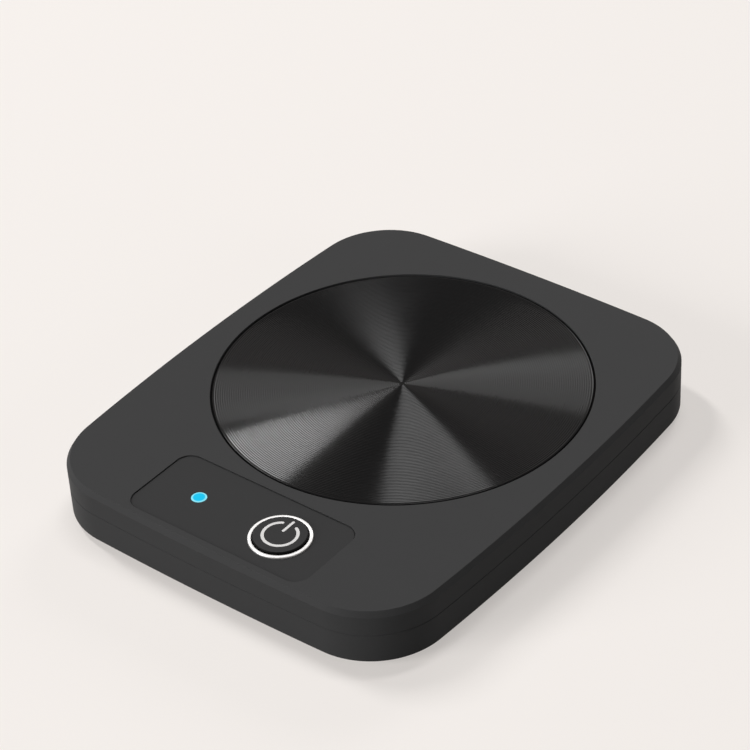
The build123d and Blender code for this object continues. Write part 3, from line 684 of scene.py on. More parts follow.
@dataclass(frozen=True)
class CapPlasticPaintedShade(Finish):
    """The button's plastic: a satin face, with painted shade that turns the cap's side (the skirt)
    below the face deep black.
    """

    FADE_END = 3

    face: float = 0.0
    # How far below the face the painted shade reaches, and the share of the colour that it leaves.
    painted_shade_drop: float = 0.07
    painted_shade_share: float = 0.02

    def dress(self, wiring: Paint) -> None:
        """Paints shade on the skirt: darkens the colour from a third of the drop below the face to
        the whole drop.

        Args:
            wiring: the material's nodes.
        """
        super().dress(wiring)
        height = wiring.add("ShaderNodeSeparateXYZ", {0: wiring.place}).outputs["Z"]
        # Mask of the painted shade: full colour down to a third of the drop below the face, near
        # black from the whole drop down.
        share = wiring.add("ShaderNodeMapRange", {
            "Value": height, "From Min": (self.face - self.painted_shade_drop) * MM,
            "From Max": (self.face - self.painted_shade_drop / self.FADE_END) * MM}).outputs["Result"]
        wiring.feed(wiring.shader.inputs["Base Color"],
                    wiring.blend(share, self.shade(self.painted_shade_share), self.colour))


@dataclass(frozen=True)
class LitLens(Finish):
    """A clear lens lit from below: full colour in the middle, paler at the rim."""

    centre: tuple[float, float] = (0.0, 0.0)
    core: float = 1.4
    radius: float = 1.8
    glow: Colour = (0.0, 0.55, 0.86)
    rim: Colour = (0.24, 0.76, 0.90)
    strength: float = 1.0
    fade: tuple[float, float] = (0.05, 0.02)

    def dress(self, wiring: Paint) -> None:
        """Chooses the light's colour by the distance from the lens axis.

        Args:
            wiring: the material's nodes.
        """
        super().dress(wiring)
        reach, _ = wiring.from_axis(self.centre)
        share = wiring.sum("DIVIDE", reach, self.radius * MM)
        edge = self.core / self.radius
        glow = wiring.ramp(share, [(0.0, self.glow), (edge - self.fade[0], self.glow),
                                   (edge + self.fade[1], self.rim), (1.0, self.rim)])
        inputs = wiring.shader.inputs
        wiring.feed(inputs["Emission Color"], glow)
        wiring.feed(inputs["Emission Strength"], self.strength)


@dataclass(frozen=True)
class HeaterTracks(Finish):
    """Film heater: metal tracks in rings under an amber film."""

    centre: tuple[float, float] = (0.0, 0.0)
    track: Colour = (0.55, 0.42, 0.3)
    track_pitch: float = 3.2
    gap_share: float = 0.45

    def dress(self, wiring: Paint) -> None:
        """Draws the tracks as a band over the distance from the heater's axis.

        Args:
            wiring: the material's nodes.
        """
        super().dress(wiring)
        reach, _ = wiring.from_axis(self.centre)
        turns = wiring.sum("FRACT", wiring.sum("DIVIDE", reach, self.track_pitch * MM))
        band = wiring.sum("GREATER_THAN", turns, self.gap_share)
        wiring.feed(wiring.shader.inputs["Base Color"],
                    wiring.blend(band, self.colour, self.track))


@dataclass(frozen=True)
class SolderMask(Finish):
    """Circuit board: solder mask over copper tracks that show as a lighter green."""

    track: Colour = (0.03, 0.32, 0.12)
    cell: float = 3.0
    scatter: float = 0.6
    tracks_per_cell: float = 2.5
    gap_share: float = 0.6

    def dress(self, wiring: Paint) -> None:
        """Draws the tracks where a blocky cell pattern has its edges.

        Args:
            wiring: the material's nodes.
        """
        super().dress(wiring)
        cells = wiring.add("ShaderNodeTexVoronoi", {
            "Vector": wiring.place, "Scale": 1 / (self.cell * MM), "Randomness": self.scatter},
            distance="CHEBYCHEV", feature="F1").outputs["Distance"]
        rings = wiring.sum("FRACT", wiring.sum("MULTIPLY", cells, self.tracks_per_cell))
        band = wiring.sum("GREATER_THAN", rings, self.gap_share)
        wiring.feed(wiring.shader.inputs["Base Color"],
                    wiring.blend(band, self.colour, self.track))


CASE_PLASTIC = Finish("case_plastic", (0.045, 0.045, 0.0455), 0.65, ior=1.15, mottle=0.02,
                      grain=0.22, relief=0.005)
PANEL_PLASTIC = Finish("panel_plastic", (0.034, 0.034, 0.0345), 0.52, ior=1.15, mottle=0.02,
                       grain=0.14, relief=0.003)
PLUNGER_PLASTIC = Finish("plunger_plastic", (0.05, 0.05, 0.05), 0.5)
COMPONENT_BLACK = Finish("component_black", (0.02, 0.02, 0.02), 0.55, grain=0.12)
SILICONE = Finish("silicone", (0.004, 0.004, 0.004), 0.8, ior=1.1, grain=0.3)
FOOT_RUBBER = Finish("foot_rubber", (0.015, 0.015, 0.015), 0.85, specular=0.3, grain=0.35,
                     relief=0.02)
RING_METAL = BrushedMetal("chrome_ring", (0.62, 0.62, 0.62), 0.5, metallic=1.0, grain=0.1,
                          relief=0.0006)
SYMBOL_METAL = BrushedMetal("symbol_silver", (0.52, 0.52, 0.52), 0.5, metallic=0.6, grain=0.1,
                            relief=0.0006)
STEEL = BrushedMetal("zinc_steel", (0.58, 0.58, 0.57), 0.38, metallic=1.0, grain=0.4,
                     mottle=0.12, relief=0.002)
SENSOR_SHELL = BrushedMetal("sensor_aluminium", (0.66, 0.66, 0.67), 0.35, metallic=1.0,
                            grain=0.2, relief=0.001)
CAPACITOR_CAN = BrushedMetal("capacitor_can", (0.74, 0.74, 0.75), 0.3, metallic=1.0, grain=0.2,
                             relief=0.001)
CONTACT_BRASS = BrushedMetal("contact_brass", (0.78, 0.7, 0.46), 0.3, metallic=1.0, grain=0.15,
                             relief=0.001)
CUTOUT_SHELL = Finish("cutout_shell", (0.12, 0.12, 0.12), 0.45, grain=0.3)
INSULATION = Finish("felt", (0.74, 0.72, 0.67), 0.95, mottle=0.12, mottle_grain=1.2, grain=0.12,
                    relief=0.08)
LAMP_PLASTIC = Finish("lamp_plastic", (0.85, 0.85, 0.8), 0.35, grain=0.2)
CONNECTOR_PLASTIC = Finish("connector_plastic", (0.84, 0.82, 0.75), 0.45, grain=0.2)
LEAD_WHITE = Finish("lead_white", (0.8, 0.8, 0.78), 0.6, grain=0.2)
LEAD_YELLOW = Finish("lead_yellow", (0.8, 0.6, 0.1), 0.55, grain=0.2)
LEAD_RED = Finish("lead_red", (0.5, 0.03, 0.02), 0.55, grain=0.2)
BOARD = SolderMask("solder_mask", (0.02, 0.2, 0.07), 0.35, grain=0.2, relief=0.002)


# ---- the case
@dataclass
class Case:
    """Both shells of the case: bowed walls, a deck with its openings, and a vented floor."""

    side_bow: float = 3.0
    end_bow: float = 1.32
    corner: float = 18.9
    wall: float = 2.0
    deck_thickness: float = 2.2
    floor_thickness: float = 2.0
    top_edge_inset: float = 0.85
    top_edge_drop: float = 1.3
    top_edge_soft: float = 0.15
    bottom_edge: float = 0.4
    seam_upper_edge: float = 0.04
    seam_lower_edge: float = 0.25
    inner_chamfer: float = 0.5
    seam_gap: float = 0.015
    lip_engagement: float = 1.5
    lip_thickness: float = 0.9
    lip_clearance: float = 0.1
    opening_round: float = 0.1
    recess_round: float = 0.05
    panel_gap: float = 0.12
    gasket_flange: float = 2.5
    lens_guide: float = 1.45
    lens_seat: float = 0.7
    boss: float = 3.5
    boss_height: float = 3.5
    pilot: float = 1.3
    pilot_depth: float = 4.5
    foot: float = 6.0
    foot_soft: float = 0.5
    foot_recess: float = 6.15
    foot_recess_depth: float = 0.8
    head_hole: float = 2.6
    head_seat: float = 4.0
    screw_hole: float = 1.5
    vent_size: tuple[float, float] = (18.0, 2.0)
    vent_rows: int = 5
    vent_pitch: float = 6.0
    vent_column: float = 11.0
    vent_edge: float = 0.2
    window_fit: float = 0.1
    window_ears: float = 1.2
    # A wall's profile has so many points from the window's edge outside to that inside.
    window_rows: int = 7
    # What keeps two points of a profile that would meet apart.
    hair: float = 1e-4
    top: Extent = measured("top_cover")
    bottom: Extent = measured("bottom_cover")
    inlet: Extent = measured("power_inlet")
    feet: Extent = measured("rubber_feet")
    gasket: Extent = measured("plate_gasket")

    def __post_init__(self) -> None:
        """Works out the levels and the outline from the construction."""
        self.deck_top = self.top.high[2]
        self.deck_under = self.deck_top - self.deck_thickness
        self.case_bottom = self.bottom.low[2]
        self.floor_top = self.case_bottom + self.floor_thickness
        self.lip_top = self.bottom.high[2]
        self.upper_bottom = self.lip_top - self.lip_engagement
        self.lower_top = self.upper_bottom - self.seam_gap
        self.rebate_top = self.lip_top + self.lip_clearance
        self.window = [self.inlet.low[0] + self.window_ears - self.window_fit,
                       self.inlet.high[0] - self.window_ears + self.window_fit]
        self.window_low = self.inlet.low[2] - self.window_fit
        self.window_high = self.inlet.high[2] + self.window_fit
        self.outline = bowed_case(self.top.size[0], self.top.size[1], self.side_bow,
                                  self.end_bow, self.corner, self.window)
        across = self.outline.loop()
        at_back = across[:, 1] > 0
        marked = [int(np.argmin(np.where(at_back, abs(across[:, 0] - x), np.inf)))
                  for x in self.window]
        self.window_columns = slice(min(marked), max(marked) + 1)
        place = (self.feet.high - self.foot)[:2]
        self.foot_points = [(sx * place[0], sy * place[1]) for sx in (-1, 1) for sy in (-1, 1)]

    def top_profile(self) -> tuple[np.ndarray, slice]:
        """The upper shell's wall: from the deck, over the edge, down, and up inside.

        Returns:
            The profile, and the rows that the inlet's window takes away.
        """
        chamfer = self.seam_upper_edge
        rebate = -(self.wall - self.lip_thickness - self.lip_clearance)
        edge, self.deck_inset = eased_slope(self.top_edge_inset, self.deck_top,
                                            self.top_edge_drop, self.top_edge_soft)
        start = len(edge)
        profile = profile_of(
            edge, (0, self.window_high), (0, self.upper_bottom + chamfer),
            (-chamfer, self.upper_bottom), (rebate, self.upper_bottom),
            (rebate, self.rebate_top), (-self.wall, self.rebate_top),
            (-self.wall, self.window_high - self.hair),
            (-self.wall, self.deck_under - self.inner_chamfer),
            (-self.wall - self.inner_chamfer, self.deck_under))
        return profile, slice(start, start + self.window_rows)

    def make_top(self) -> None:
        """The upper shell: wall, deck, recess of the panel, openings and bosses."""
        skin = Skin()
        profile, notch = self.top_profile()
        skin.notched(self.outline, profile, notch, self.window_columns)
        panel, ring, lens = (Extent.of(n) for n in ("control_panel", "button_ring", "led_lens"))
        seat = panel.low[2]
        opening = circle(self.gasket.centre, steps=240)
        reach = self.gasket.size[0] / 2 - self.gasket_flange
        soft, deck_top = self.opening_round, self.deck_top
        skin.carry(opening, rounding((reach + soft, deck_top - soft), soft, 90, 180, steps=4),
                   (reach, self.deck_under))
        recess = rounded_rectangle(panel.centre, panel.size + 2 * self.panel_gap,
                                   PANEL_CORNER + self.panel_gap, steps=20)
        edge = self.recess_round
        skin.carry(recess, rounding((edge, deck_top - edge), edge, 90, 180, steps=3), (0, seat))
        ring_hole = circle(ring.centre, RING_HOLE)
        skin.carry(ring_hole, (0, seat), (0, self.deck_under))
        lens_hole = circle(lens.centre, steps=48)
        seat_level = self.deck_under + self.lens_seat
        skin.carry(lens_hole, (LENS_HOLE, seat), (LENS_HOLE, seat_level),
                   (self.lens_guide, seat_level), (self.lens_guide, self.deck_under))
        bosses = [circle(p, steps=40) for p in self.foot_points]
        boss_end = self.floor_top + self.boss_height
        for boss in bosses:
            skin.carry(boss, (self.boss, self.deck_under), (self.boss, boss_end),
                       (self.pilot, boss_end), (self.pilot, boss_end + self.pilot_depth),
                       (0, boss_end + self.pilot_depth))
        skin.plate(deck_top, self.outline.loop(-self.deck_inset),
                   [opening.loop(reach + soft), recess.loop(edge)])
        skin.plate(seat, recess.loop(), [ring_hole.loop(), lens_hole.loop(LENS_HOLE)])
        skin.plate(self.deck_under, self.outline.loop(-self.wall - self.inner_chamfer),
                   [opening.loop(reach), ring_hole.loop(), lens_hole.loop(self.lens_guide),
                    *(boss.loop(self.boss) for boss in bosses)])
        skin.settle("upper_shell", CASE_PLASTIC, ["top_cover"])

    def bottom_profile(self) -> tuple[np.ndarray, slice]:
        """The lower shell's wall: from the bottom, round, up to the lip, and down inside.

        Returns:
            The profile, and the rows that the inlet's window takes away.
        """
        r, chamfer = self.bottom_edge, self.seam_lower_edge
        lip = -(self.wall - self.lip_thickness)
        edge = rounding((-r, self.case_bottom + r), r, -90, 0, steps=12)
        start = len(edge)
        profile = profile_of(
            edge, (0, self.window_low), (0, self.lower_top - chamfer),
            (-chamfer, self.lower_top), (lip, self.lower_top), (lip, self.lip_top),
            (-self.wall, self.lip_top), (-self.wall, self.window_low),
            (-self.wall, self.floor_top))
        return profile, slice(start, start + self.window_rows)

    def make_bottom(self) -> None:
        """The lower shell: wall, floor with vents, foot recesses and bosses."""
        skin = Skin()
        profile, notch = self.bottom_profile()
        skin.notched(self.outline, profile, notch, self.window_columns)
        plate_y = self.gasket.centre[1]
        vents = [rounded_rectangle((x, plate_y + row * self.vent_pitch), self.vent_size,
                                   self.vent_size[1] / 2, steps=7)
                 for x in (-self.vent_column, self.vent_column)
                 for row in range(-(self.vent_rows // 2), self.vent_rows // 2 + 1)]
        for vent in vents:
            skin.carry(vent, (self.vent_edge, self.case_bottom),
                       (0, self.case_bottom + self.vent_edge), (0, self.floor_top))
        bosses = [circle(p, steps=64) for p in self.foot_points]
        recess_top = self.case_bottom + self.foot_recess_depth
        boss_top = self.floor_top + self.boss_height
        for boss in bosses:
            skin.carry(boss, (self.foot_recess, self.case_bottom), (self.foot_recess, recess_top),
                       (self.head_hole, recess_top), (self.head_hole, self.head_seat),
                       (self.screw_hole, self.head_seat), (self.screw_hole, boss_top),
                       (self.boss, boss_top), (self.boss, self.floor_top))
        skin.plate(self.case_bottom, self.outline.loop(-self.bottom_edge),
                   [*(vent.loop(self.vent_edge) for vent in vents),
                    *(boss.loop(self.foot_recess) for boss in bosses)])
        skin.plate(self.floor_top, self.outline.loop(-self.wall),
                   [*(vent.loop() for vent in vents),
                    *(boss.loop(self.boss) for boss in bosses)])
        skin.settle("lower_shell", CASE_PLASTIC, ["bottom_cover"])

    def make_feet(self) -> None:
        """Four round feet with a soft lower edge, each a profile turned about its own axis."""
        skin = Skin()
        soft, top = self.foot_soft, self.feet.high[2]
        for point in self.foot_points:
            skin.carry(circle(point, steps=72), (0, 0),
                       rounding((self.foot - soft, soft), soft, -90, 0, steps=6), (self.foot, top),
                       (0, top))
        skin.settle("feet", FOOT_RUBBER, ["rubber_feet"])


# ---- the heating plate
@dataclass
class HeatingPlate:
    """The grooved plate and the gasket in the gap round it."""

    rim: float = 44.5
    bevel: float = 0.42
    bevel_tilt: float = 35.0
    bevel_soft: float = 0.08
    groove_pitch: float = 0.53
    groove_tilt: float = 20.0
    groove_flat: float = 0.06
    groove_margin: float = 0.5
    pocket: float = 42.0
    web: float = 2.4
    flange_thickness: float = 1.2
    gasket_width: float = 0.5
    gasket_soft: float = 0.15
    gasket_flange_thickness: float = 0.5
    plate: Extent = measured("heating_plate")
    gasket: Extent = measured("plate_gasket")

    def grooved_face(self, end: float) -> np.ndarray:
        """The plate's top from its middle outwards.

        Every pitch holds a narrow ridge, a flank that falls, a narrow bottom and a flank that
        rises. The bottom lies below the ridge by a flank's width times the tilt's tangent.

        Args:
            end: radius at which the outermost flank reaches the face.

        Returns:
            The profile from the innermost groove to the outermost one.
        """
        flat = self.groove_flat * self.groove_pitch
        flank = self.groove_pitch / 2 - flat
        depth = flank * math.tan(math.radians(self.groove_tilt))
        grooves = math.floor((end - self.groove_margin) / self.groove_pitch)
        starts = end - np.arange(grooves, 0, -1) * self.groove_pitch
        across = np.cumsum([0.0, flat, flank, flat])
        reach = starts[:, None] + across[None, :]
        height = np.broadcast_to(self.plate.high[2] - np.array([0.0, 0.0, depth, depth]),
                                 reach.shape)
        face = np.column_stack([reach.ravel(), height.ravel()])
        return np.concatenate([face, [(end, self.plate.high[2])]])

    def bevelled_rim(self) -> np.ndarray:
        """The plate's edge: an arc that tilts more and more, then a tight round to the wall.

        An arc that tilts from level by an angle over a width has the radius width over the
        sine of that angle.

        Returns:
            The profile from the flat face to the wall.
        """
        tilt, soft, top = math.radians(self.bevel_tilt), self.bevel_soft, self.plate.high[2]
        radius = self.bevel / math.sin(tilt)
        start = self.rim - self.bevel - soft * (1 - math.sin(tilt))
        low = top - radius * (1 - math.cos(tilt))
        return profile_of(
            rounding((start, top - radius), radius, 90, 90 - self.bevel_tilt, steps=8),
            rounding((self.rim - soft, low - soft * math.cos(tilt)), soft,
                     90 - self.bevel_tilt, 0, steps=4)[1:])

    def make_plate(self) -> None:
        """The plate: grooved face, round rim, flange, and the heater's pocket below."""
        top, bottom = self.plate.high[2], self.plate.low[2]
        flange, rim = self.plate.size[0] / 2, self.bevelled_rim()
        flange_top, pocket_top = bottom + self.flange_thickness, top - self.web
        skin = Skin()
        skin.carry(circle(self.plate.centre, steps=216), (0, top), self.grooved_face(rim[0, 0]),
                   rim[1:], (self.rim, flange_top), (flange, flange_top), (flange, bottom),
                   (self.pocket, bottom), (self.pocket, pocket_top), (0, pocket_top))
        finish = GroovedCoating("plate_coating", (0.004, 0.004, 0.0043), 0.12, ior=1.17,
                                mottle=0.25, rough_spread=0.03, relief=0.0008,
                                centre=tuple(self.plate.centre[:2]), pitch=self.groove_pitch)
        skin.settle("grooved_plate", finish, ["heating_plate"], sharp=12.0)

    def make_gasket(self) -> None:
        """The gasket: an upright ring on a flat flange, with soft upper edges."""
        top, bottom = self.gasket.high[2], self.gasket.low[2]
        outside = self.rim + self.gasket_width
        flange, flange_top = self.gasket.size[0] / 2, bottom + self.gasket_flange_thickness
        skin = Skin()
        skin.carry(circle(self.gasket.centre, steps=240), (self.rim, bottom),
                   soft_lip(self.rim, outside, top, self.gasket_soft, steps=4),
                   (outside, flange_top), (flange, flange_top), (flange, bottom),
                   (self.rim, bottom))
        skin.settle("gasket_ring", SILICONE, ["plate_gasket"])


# ---- the control panel
@dataclass
class ControlPanel:
    """The inset panel with its lamp lens, and the push button with its ring and symbol."""

    edge: float = 0.08
    ring_bore: float = 6.335
    ring_wall: float = 0.4
    ring_soft: float = 0.28
    cap: float = 6.15
    cap_edge: float = 0.35
    cap_wall: float = 1.0
    cap_roof: float = 1.2
    cap_flange_thickness: float = 0.8
    stem: float = 1.8
    stem_length: float = 1.4
    symbol_proud: float = 0.03
    symbol_depth: float = 0.25
    symbol_edge: tuple[float, float] = (0.02, 0.015)
    arc_radius: float = 3.9
    arc_stroke: float = 0.72
    arc_ends: tuple[float, float] = (121.0, 424.0)
    bar_from: float = 0.95
    bar_to: float = 5.05
    bar_stroke: float = 0.66
    bar_shift: float = -0.12
    lens_guide: float = 1.4
    lens_edge: float = 0.4
    lens_seat_drop: float = 0.45
    lens_dome: float = 0.04
    lens_rim: tuple[tuple[float, float], ...] = ((-0.05, -0.1), (0.0, -0.15))
    panel: Extent = measured("control_panel")
    ring: Extent = measured("button_ring")
    button: Extent = measured("power_button")
    lens: Extent = measured("led_lens")

    def make_panel(self) -> None:
        """The panel: a thin plate with round corners, a soft upper edge and two holes."""
        low, top, r = self.panel.low[2], self.panel.high[2], self.edge
        outline = rounded_rectangle(self.panel.centre, self.panel.size, PANEL_CORNER, steps=20)
        ring_hole = circle(self.ring.centre, RING_HOLE)
        lens_hole = circle(self.lens.centre, LENS_HOLE, steps=48)
        skin = Skin()
        skin.carry(outline, (0, low), rounding((-r, top - r), r, 0, 90, steps=4))
        for hole in (ring_hole, lens_hole):
            skin.carry(hole, (0, low), (0, top))
        skin.plate(top, outline.loop(-r), [ring_hole.loop(), lens_hole.loop()])
        skin.plate(low, outline.loop(), [ring_hole.loop(), lens_hole.loop()])
        skin.settle("panel_inlay", PANEL_PLASTIC, ["control_panel"])

    def make_ring(self) -> None:
        """The ring: a sleeve in the panel with a flat lip that has soft edges."""
        low, top = self.ring.low[2], self.ring.high[2]
        outside, sleeve = self.ring.size[0] / 2, self.ring_bore + self.ring_wall
        lip = soft_lip(self.ring_bore, outside, top, self.ring_soft, steps=5)
        skin = Skin()
        skin.carry(circle(self.ring.centre, steps=144), (self.ring_bore, low), lip,
                   (outside, self.panel.high[2]), (sleeve, self.panel.high[2]), (sleeve, low),
                   (self.ring_bore, low))
        skin.settle("silver_ring", RING_METAL, ["button_ring"])

    def make_button(self) -> None:
        """The button: cap with a round edge, skirt, flange and stem, as one turned profile."""
        face, r = self.button.high[2] - self.symbol_proud, self.cap_edge
        stem_low = self.button.low[2]
        flange_low = stem_low + self.stem_length
        flange_top = flange_low + self.cap_flange_thickness
        flange, inside = self.button.size[0] / 2, self.cap - self.cap_wall
        roof = face + self.symbol_proud - self.cap_roof
        skin = Skin()
        skin.carry(circle(self.button.centre, steps=144), (0, face),
                   rounding((self.cap - r, face - r), r, 90, 0, steps=10),
                   (self.cap, flange_top),
                   (flange, flange_top), (flange, flange_low), (inside, flange_low),
                   (inside, roof), (self.stem, roof), (self.stem, stem_low), (0, stem_low))
        # The cap's finish paints shade on its side below the face.
        finish = CapPlasticPaintedShade("button_plastic", (0.034, 0.034, 0.0345), 0.5, ior=1.15,
                            mottle=0.02, grain=0.15, relief=0.003, face=face)
        skin.settle("button_cap", finish, ["power_button"], "button")

    def stroke(self, path: np.ndarray, width: float, skin: Skin) -> None:
        """A flat bar with round ends along a path, let into the cap and a little proud of it.

        The outline is the path moved by half the width along its normals to one side and back
        along the other, with half turns about the two ends.

        Args:
            path: points of the centreline, in the plane of the cap.
            width: the stroke's width.
            skin: what the faces go into.
        """
        along = np.gradient(path, axis=0)
        along /= np.linalg.norm(along, axis=1)[:, None]
        normal = np.column_stack([along[:, 1], -along[:, 0]])
        quarter = math.pi / 2

        def end(point: np.ndarray, heading: np.ndarray, half: float) -> np.ndarray:
            """The half turn of radius half round a point, in the direction of heading."""
            start = math.atan2(heading[1], heading[0])
            turn = np.linspace(start - quarter, start + quarter, 13)[1:-1]
            return point + half * headings(turn)

        top, (inset, drop) = self.button.high[2], self.symbol_edge
        low, rows = top - self.symbol_depth, []
        for half, height in ((width / 2, low), (width / 2, top - drop), (width / 2 - inset, top)):
            loop = np.concatenate([path + half * normal, end(path[-1], along[-1], half),
                                   (path - half * normal)[::-1], end(path[0], -along[0], half)])
            rows.append(np.column_stack([loop, np.full(len(loop), height)]))
        skin.grid(np.stack(rows))
        skin.plate(top, rows[-1][:, :2])
        skin.plate(low, rows[0][:, :2])

    def make_symbol(self) -> None:
        """The power symbol: an open ring and an upright bar, which ride on the button."""
        centre = self.button.centre[:2]
        skin = Skin()
        turn = np.radians(np.linspace(*self.arc_ends, 97))
        self.stroke(centre + self.arc_radius * headings(turn), self.arc_stroke, skin)
        half = self.bar_stroke / 2
        rise = np.linspace(self.bar_from + half, self.bar_to - half, 5)
        bar = np.column_stack([np.full(len(rise), self.bar_shift), rise])
        self.stroke(centre + bar, self.bar_stroke, skin)
        skin.settle("power_symbol", SYMBOL_METAL, body="button")

    def make_lens(self) -> None:
        """The lens: a shallow dome with a sloped rim on a light guide."""
        low, top, radius = self.lens.low[2], self.lens.high[2], self.lens.size[0] / 2
        seat = self.panel.low[2] - self.lens_seat_drop
        core = radius - self.lens_edge
        across = np.linspace(0, core, 7)
        dome = np.column_stack([across, top - self.lens_dome * (across / core) ** 2])
        skin = Skin()
        skin.carry(circle(self.lens.centre, steps=64), dome,
                   np.array([radius, top]) + self.lens_rim, (radius, seat),
                   (self.lens_guide, seat), (self.lens_guide, low), (0, low))
        finish = LitLens("lit_lens", (0.0, 0.01, 0.015), 0.3, ior=1.2, mottle=0.0, relief=0.001,
                         centre=tuple(self.lens.centre[:2]), core=core, radius=radius)
        skin.settle("lamp_lens", finish, ["led_lens"], sharp=60.0)


# ---- the power inlet
@dataclass
class PowerInlet:
    """The socket's housing with its round bore and the pocket of the leaf contact."""

    ears: float = 1.2
    edge: float = 0.8
    face_soft: float = 0.15
    bore: float = 3.2
    bore_depth: float = 9.5
    mouth: float = 0.5
    pocket: float = 3.65
    pocket_width: float = 2.4
    box: Extent = measured("power_inlet")

    def bore_loop(self, radius: float, steps: int = 72) -> np.ndarray:
        """A circle with a square pocket on its right, as points about the bore's axis.

        Args:
            radius: the circle's radius.
            steps: points of the circle outside the pocket.

        Returns:
            The circle from the pocket round to it again, and the pocket's two corners.
        """
        half = self.pocket_width / 2
        start = math.asin(half / radius)
        turn = np.linspace(start, 2 * math.pi - start, steps)
        square_part = np.array([(self.pocket, -half), (self.pocket, half)])
        return np.concatenate([radius * headings(turn), square_part])

    def make(self) -> None:
        """The housing: a block as wide as the case's window, and the bore with its mouth."""
        centre = np.array([self.box.centre[0], self.box.centre[2]])
        face, back = self.box.high[1], self.box.low[1]
        size = np.array([self.box.size[0] - 2 * self.ears, self.box.size[2]])
        body = rounded_rectangle(centre, size, self.edge, steps=8)
        soft, end = self.face_soft, face - self.bore_depth
        skin = Skin(Upright.BACK)
        skin.carry(body, (0, back), rounding((-soft, face - soft), soft, 0, 90, steps=3))
        loops = [centre + self.bore_loop(r) for r in (self.bore + self.mouth, self.bore, self.bore)]
        levels = (face, face - self.mouth, end)
        skin.grid(np.stack([np.column_stack([loop, np.full(len(loop), level)])
                            for loop, level in zip(loops, levels)]))
        skin.plate(face, body.loop(-soft), [loops[0]])
        skin.plate(end, loops[-1])
        skin.plate(back, body.loop())
        skin.settle("inlet_housing", COMPONENT_BLACK, ["power_inlet"])


# ---- pieces kept as built
@dataclass(frozen=True)
class Insides:
    """The construction's own inner nodes, each with its finish."""

    heater_centre: tuple[float, float]

    def finishes(self) -> dict[str, Finish]:
        """The finish of each node that shows as it was built.

        Returns:
            The finishes by the nodes' names.
        """
        heater = HeaterTracks("heater_film", (0.45, 0.22, 0.05), 0.3, grain=0.3,
                              centre=self.heater_centre)
        return {
            "heater_element": heater, "insulation_pad": INSULATION, "pressure_plate": STEEL,
            "pressure_plate_screws": STEEL, "temperature_sensor": SENSOR_SHELL,
            "thermal_cutout": CUTOUT_SHELL, "cutout_strap": STEEL,
            "indicator_led": LAMP_PLASTIC, "switch_body": COMPONENT_BLACK,
            "switch_plunger": PLUNGER_PLASTIC, "circuit_board": BOARD, "board_screws": STEEL,
            "microcontroller": COMPONENT_BLACK, "power_transistor": COMPONENT_BLACK,
            "smoothing_capacitor": CAPACITOR_CAN, "board_connectors": CONNECTOR_PLASTIC,
            "heater_leads": LEAD_WHITE, "sensor_leads": LEAD_YELLOW, "cutout_leads": LEAD_WHITE,
            "supply_leads": LEAD_RED, "inlet_contacts": CONTACT_BRASS, "case_screws": STEEL}

    def dress(self) -> None:
        """Gives each node its finish."""
        for node, finish in self.finishes().items():
            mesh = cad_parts[node].data
            mesh.materials.clear()
            mesh.materials.append(finish.material())
            log.info("%s: as built, %s", node, finish.name)


# ---- the studio
def towards(azimuth: float, elevation: float) -> Vector:
    """Unit vector to a place, in degrees: azimuth 0 is the front and 90 the right."""
    a, e = math.radians(azimuth), math.radians(elevation)
    return Vector((math.sin(a) * math.cos(e), -math.cos(a) * math.cos(e), math.sin(e)))


@dataclass(frozen=True)
class Softbox:
    """A flat lamp, so wide and so high in metres, that faces the object and may be rolled."""

    name: str
    azimuth: float
    elevation: float
    level: float
    size: tuple[float, float] = (1.3, 1.3)
    roll: float = 0.0
    distance: float = 3.0

    def make(self) -> None:
        """Hangs the lamp.

        At a distance d, a power of pi^2 d^2 times the level lights a face turned to the lamp by
        pi times the level, so that at level 1 a colour shows as it is written.
        """
        lamp = bpy.data.lights.new(self.name, "AREA")
        lamp.shape = "RECTANGLE"
        lamp.size, lamp.size_y = self.size
        lamp.energy = self.level * math.pi ** 2 * self.distance ** 2
        aim = towards(self.azimuth, self.elevation)
        holder = bpy.data.objects.new(self.name, lamp)
        holder.location = aim * self.distance
        holder.rotation_mode = "QUATERNION"
        spin = Quaternion((0.0, 0.0, 1.0), math.radians(self.roll))
        holder.rotation_quaternion = aim.to_track_quat("Z", "Y") @ spin
        bpy.context.scene.collection.objects.link(holder)


@dataclass(frozen=True)
class Camera:
    """The view: a long lens that looks down on the front right corner."""

    target: tuple[float, float, float] = (-2.82, 2.49, 20.15)
    azimuth: float = 39.796
    elevation: float = 36.348
    roll: float = -3.405
    distance: float = 596.5
    lens: float = 123.9
    sensor: float = 36.0
    clip: tuple[float, float] = (0.01, 20.0)

    def make(self) -> None:
        """Sets up the camera from its angles about the target."""
        a, r = math.radians(self.azimuth), math.radians(self.roll)
        back = towards(self.azimuth, self.elevation)
        level = Vector((math.cos(a), math.sin(a), 0.0))
        rise = back.cross(level)
        right = math.cos(r) * level + math.sin(r) * rise
        up = back.cross(right)
        data = bpy.data.cameras.new("camera")
        data.lens, data.sensor_width = self.lens, self.sensor
        data.clip_start, data.clip_end = self.clip
        holder = bpy.data.objects.new("camera", data)
        turn = Matrix((right, up, back)).transposed().to_4x4()
        place = (Vector(self.target) + back * self.distance) * MM
        holder.matrix_world = Matrix.Translation(place) @ turn
        bpy.context.scene.collection.objects.link(holder)
        bpy.context.scene.camera = holder


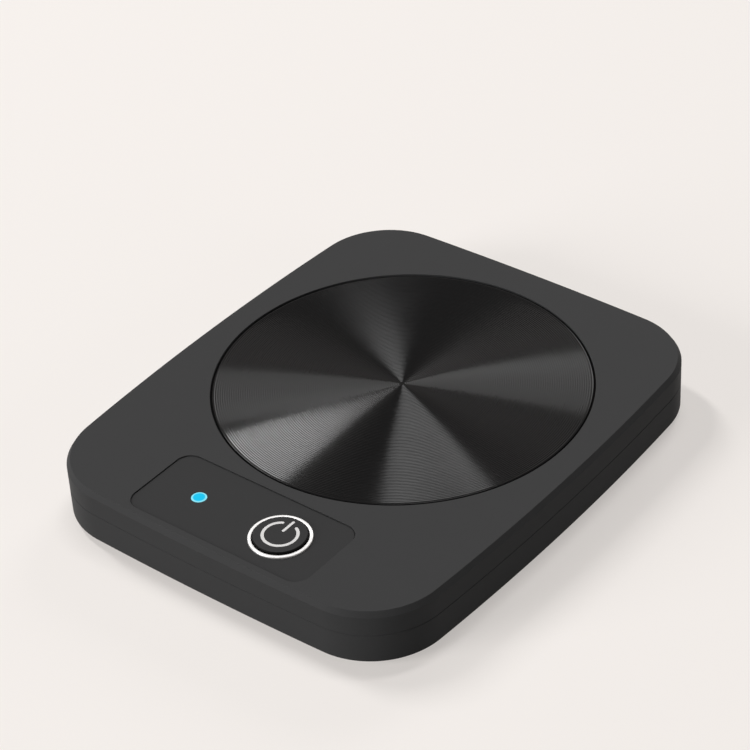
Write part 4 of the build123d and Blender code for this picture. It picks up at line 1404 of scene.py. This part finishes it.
@dataclass(frozen=True)
class Studio:
    """A pale floor, a pale surrounding and soft lamps.

    The camera sees the floor as a mix of the plain pale colour and of a lit surface that holds
    the object's shadow. The object itself is lit by a floor of a deeper tone.
    """

    pale: Colour = (0.93, 0.885, 0.85)
    floor_bounce: Colour = (0.35, 0.345, 0.34)
    floor_share: float = 0.5
    ambient: float = 0.06
    floor_size: float = 8.0
    lamps: tuple[Softbox, ...] = (
        Softbox("left", 262.0, 48.0, 0.43, (0.25, 1.12), -17.0),
        Softbox("back_top", 196.0, 76.0, 0.24, (0.3, 1.15), -51.0),
        Softbox("back", 192.0, 27.5, 0.2, (1.05, 1.05)),
        Softbox("front", 332.0, 17.0, 0.8),
        Softbox("right", 90.0, 15.0, 0.12),
    )

    def make_floor(self) -> None:
        """The floor: pale where the camera or a reflection sees it, with the object's shadow."""
        half = self.floor_size / 2
        mesh = bpy.data.meshes.new("floor")
        mesh.from_pydata([(-half, -half, 0), (half, -half, 0), (half, half, 0), (-half, half, 0)],
                         [], [(0, 1, 2, 3)])
        floor = bpy.data.objects.new("floor", mesh)
        bpy.context.scene.collection.objects.link(floor)
        wiring = Paint("floor_paint")
        seen = wiring.seen_directly()
        wiring.feed(wiring.shader.inputs["Base Color"],
                    wiring.blend(seen, self.floor_bounce, self.pale))
        wiring.feed(wiring.shader.inputs["Roughness"], 1.0)
        wiring.feed(wiring.shader.inputs["Specular IOR Level"], 0.0)
        glow = wiring.add("ShaderNodeEmission", {"Color": self.pale})
        mix = wiring.add("ShaderNodeMixShader", {
            0: wiring.sum("MULTIPLY", seen, self.floor_share),
            1: wiring.shader.outputs["BSDF"], 2: glow.outputs["Emission"]})
        wiring.feed(wiring.output, mix.outputs["Shader"])
        mesh.materials.append(wiring.made)

    def make_surrounding(self) -> None:
        """The world: a soft light all round, and a pale colour where it is seen."""
        world = bpy.data.worlds.new("surrounding")
        bpy.context.scene.world = world
        world.use_nodes = True
        wiring = Wiring(world.node_tree)
        soft = wiring.add("ShaderNodeBackground", {"Color": (1.0, 1.0, 1.0),
                                                   "Strength": self.ambient})
        seen = wiring.add("ShaderNodeBackground", {"Color": self.pale})
        mix = wiring.add("ShaderNodeMixShader", {
            0: wiring.seen_directly(), 1: soft.outputs["Background"],
            2: seen.outputs["Background"]})
        wiring.add("ShaderNodeOutputWorld", {"Surface": mix.outputs["Shader"]})

    def make(self) -> None:
        """Sets up the floor, the surrounding and the lamps."""
        self.make_floor()
        self.make_surrounding()
        for lamp in self.lamps:
            lamp.make()
        bpy.context.scene.view_settings.view_transform = "Standard"


def main() -> None:
    """Makes the camera, the pieces in their order, and the studio."""
    logging.basicConfig(level=logging.INFO, format="%(name)s: %(message)s")
    Camera().make()
    case, plate, panel = Case(), HeatingPlate(), ControlPanel()
    case.make_bottom()
    case.make_top()
    case.make_feet()
    plate.make_plate()
    plate.make_gasket()
    panel.make_panel()
    panel.make_ring()
    panel.make_button()
    panel.make_symbol()
    panel.make_lens()
    PowerInlet().make()
    Insides(tuple(plate.plate.centre[:2])).dress()
    Studio().make()


if __name__ == "__main__":
    main()
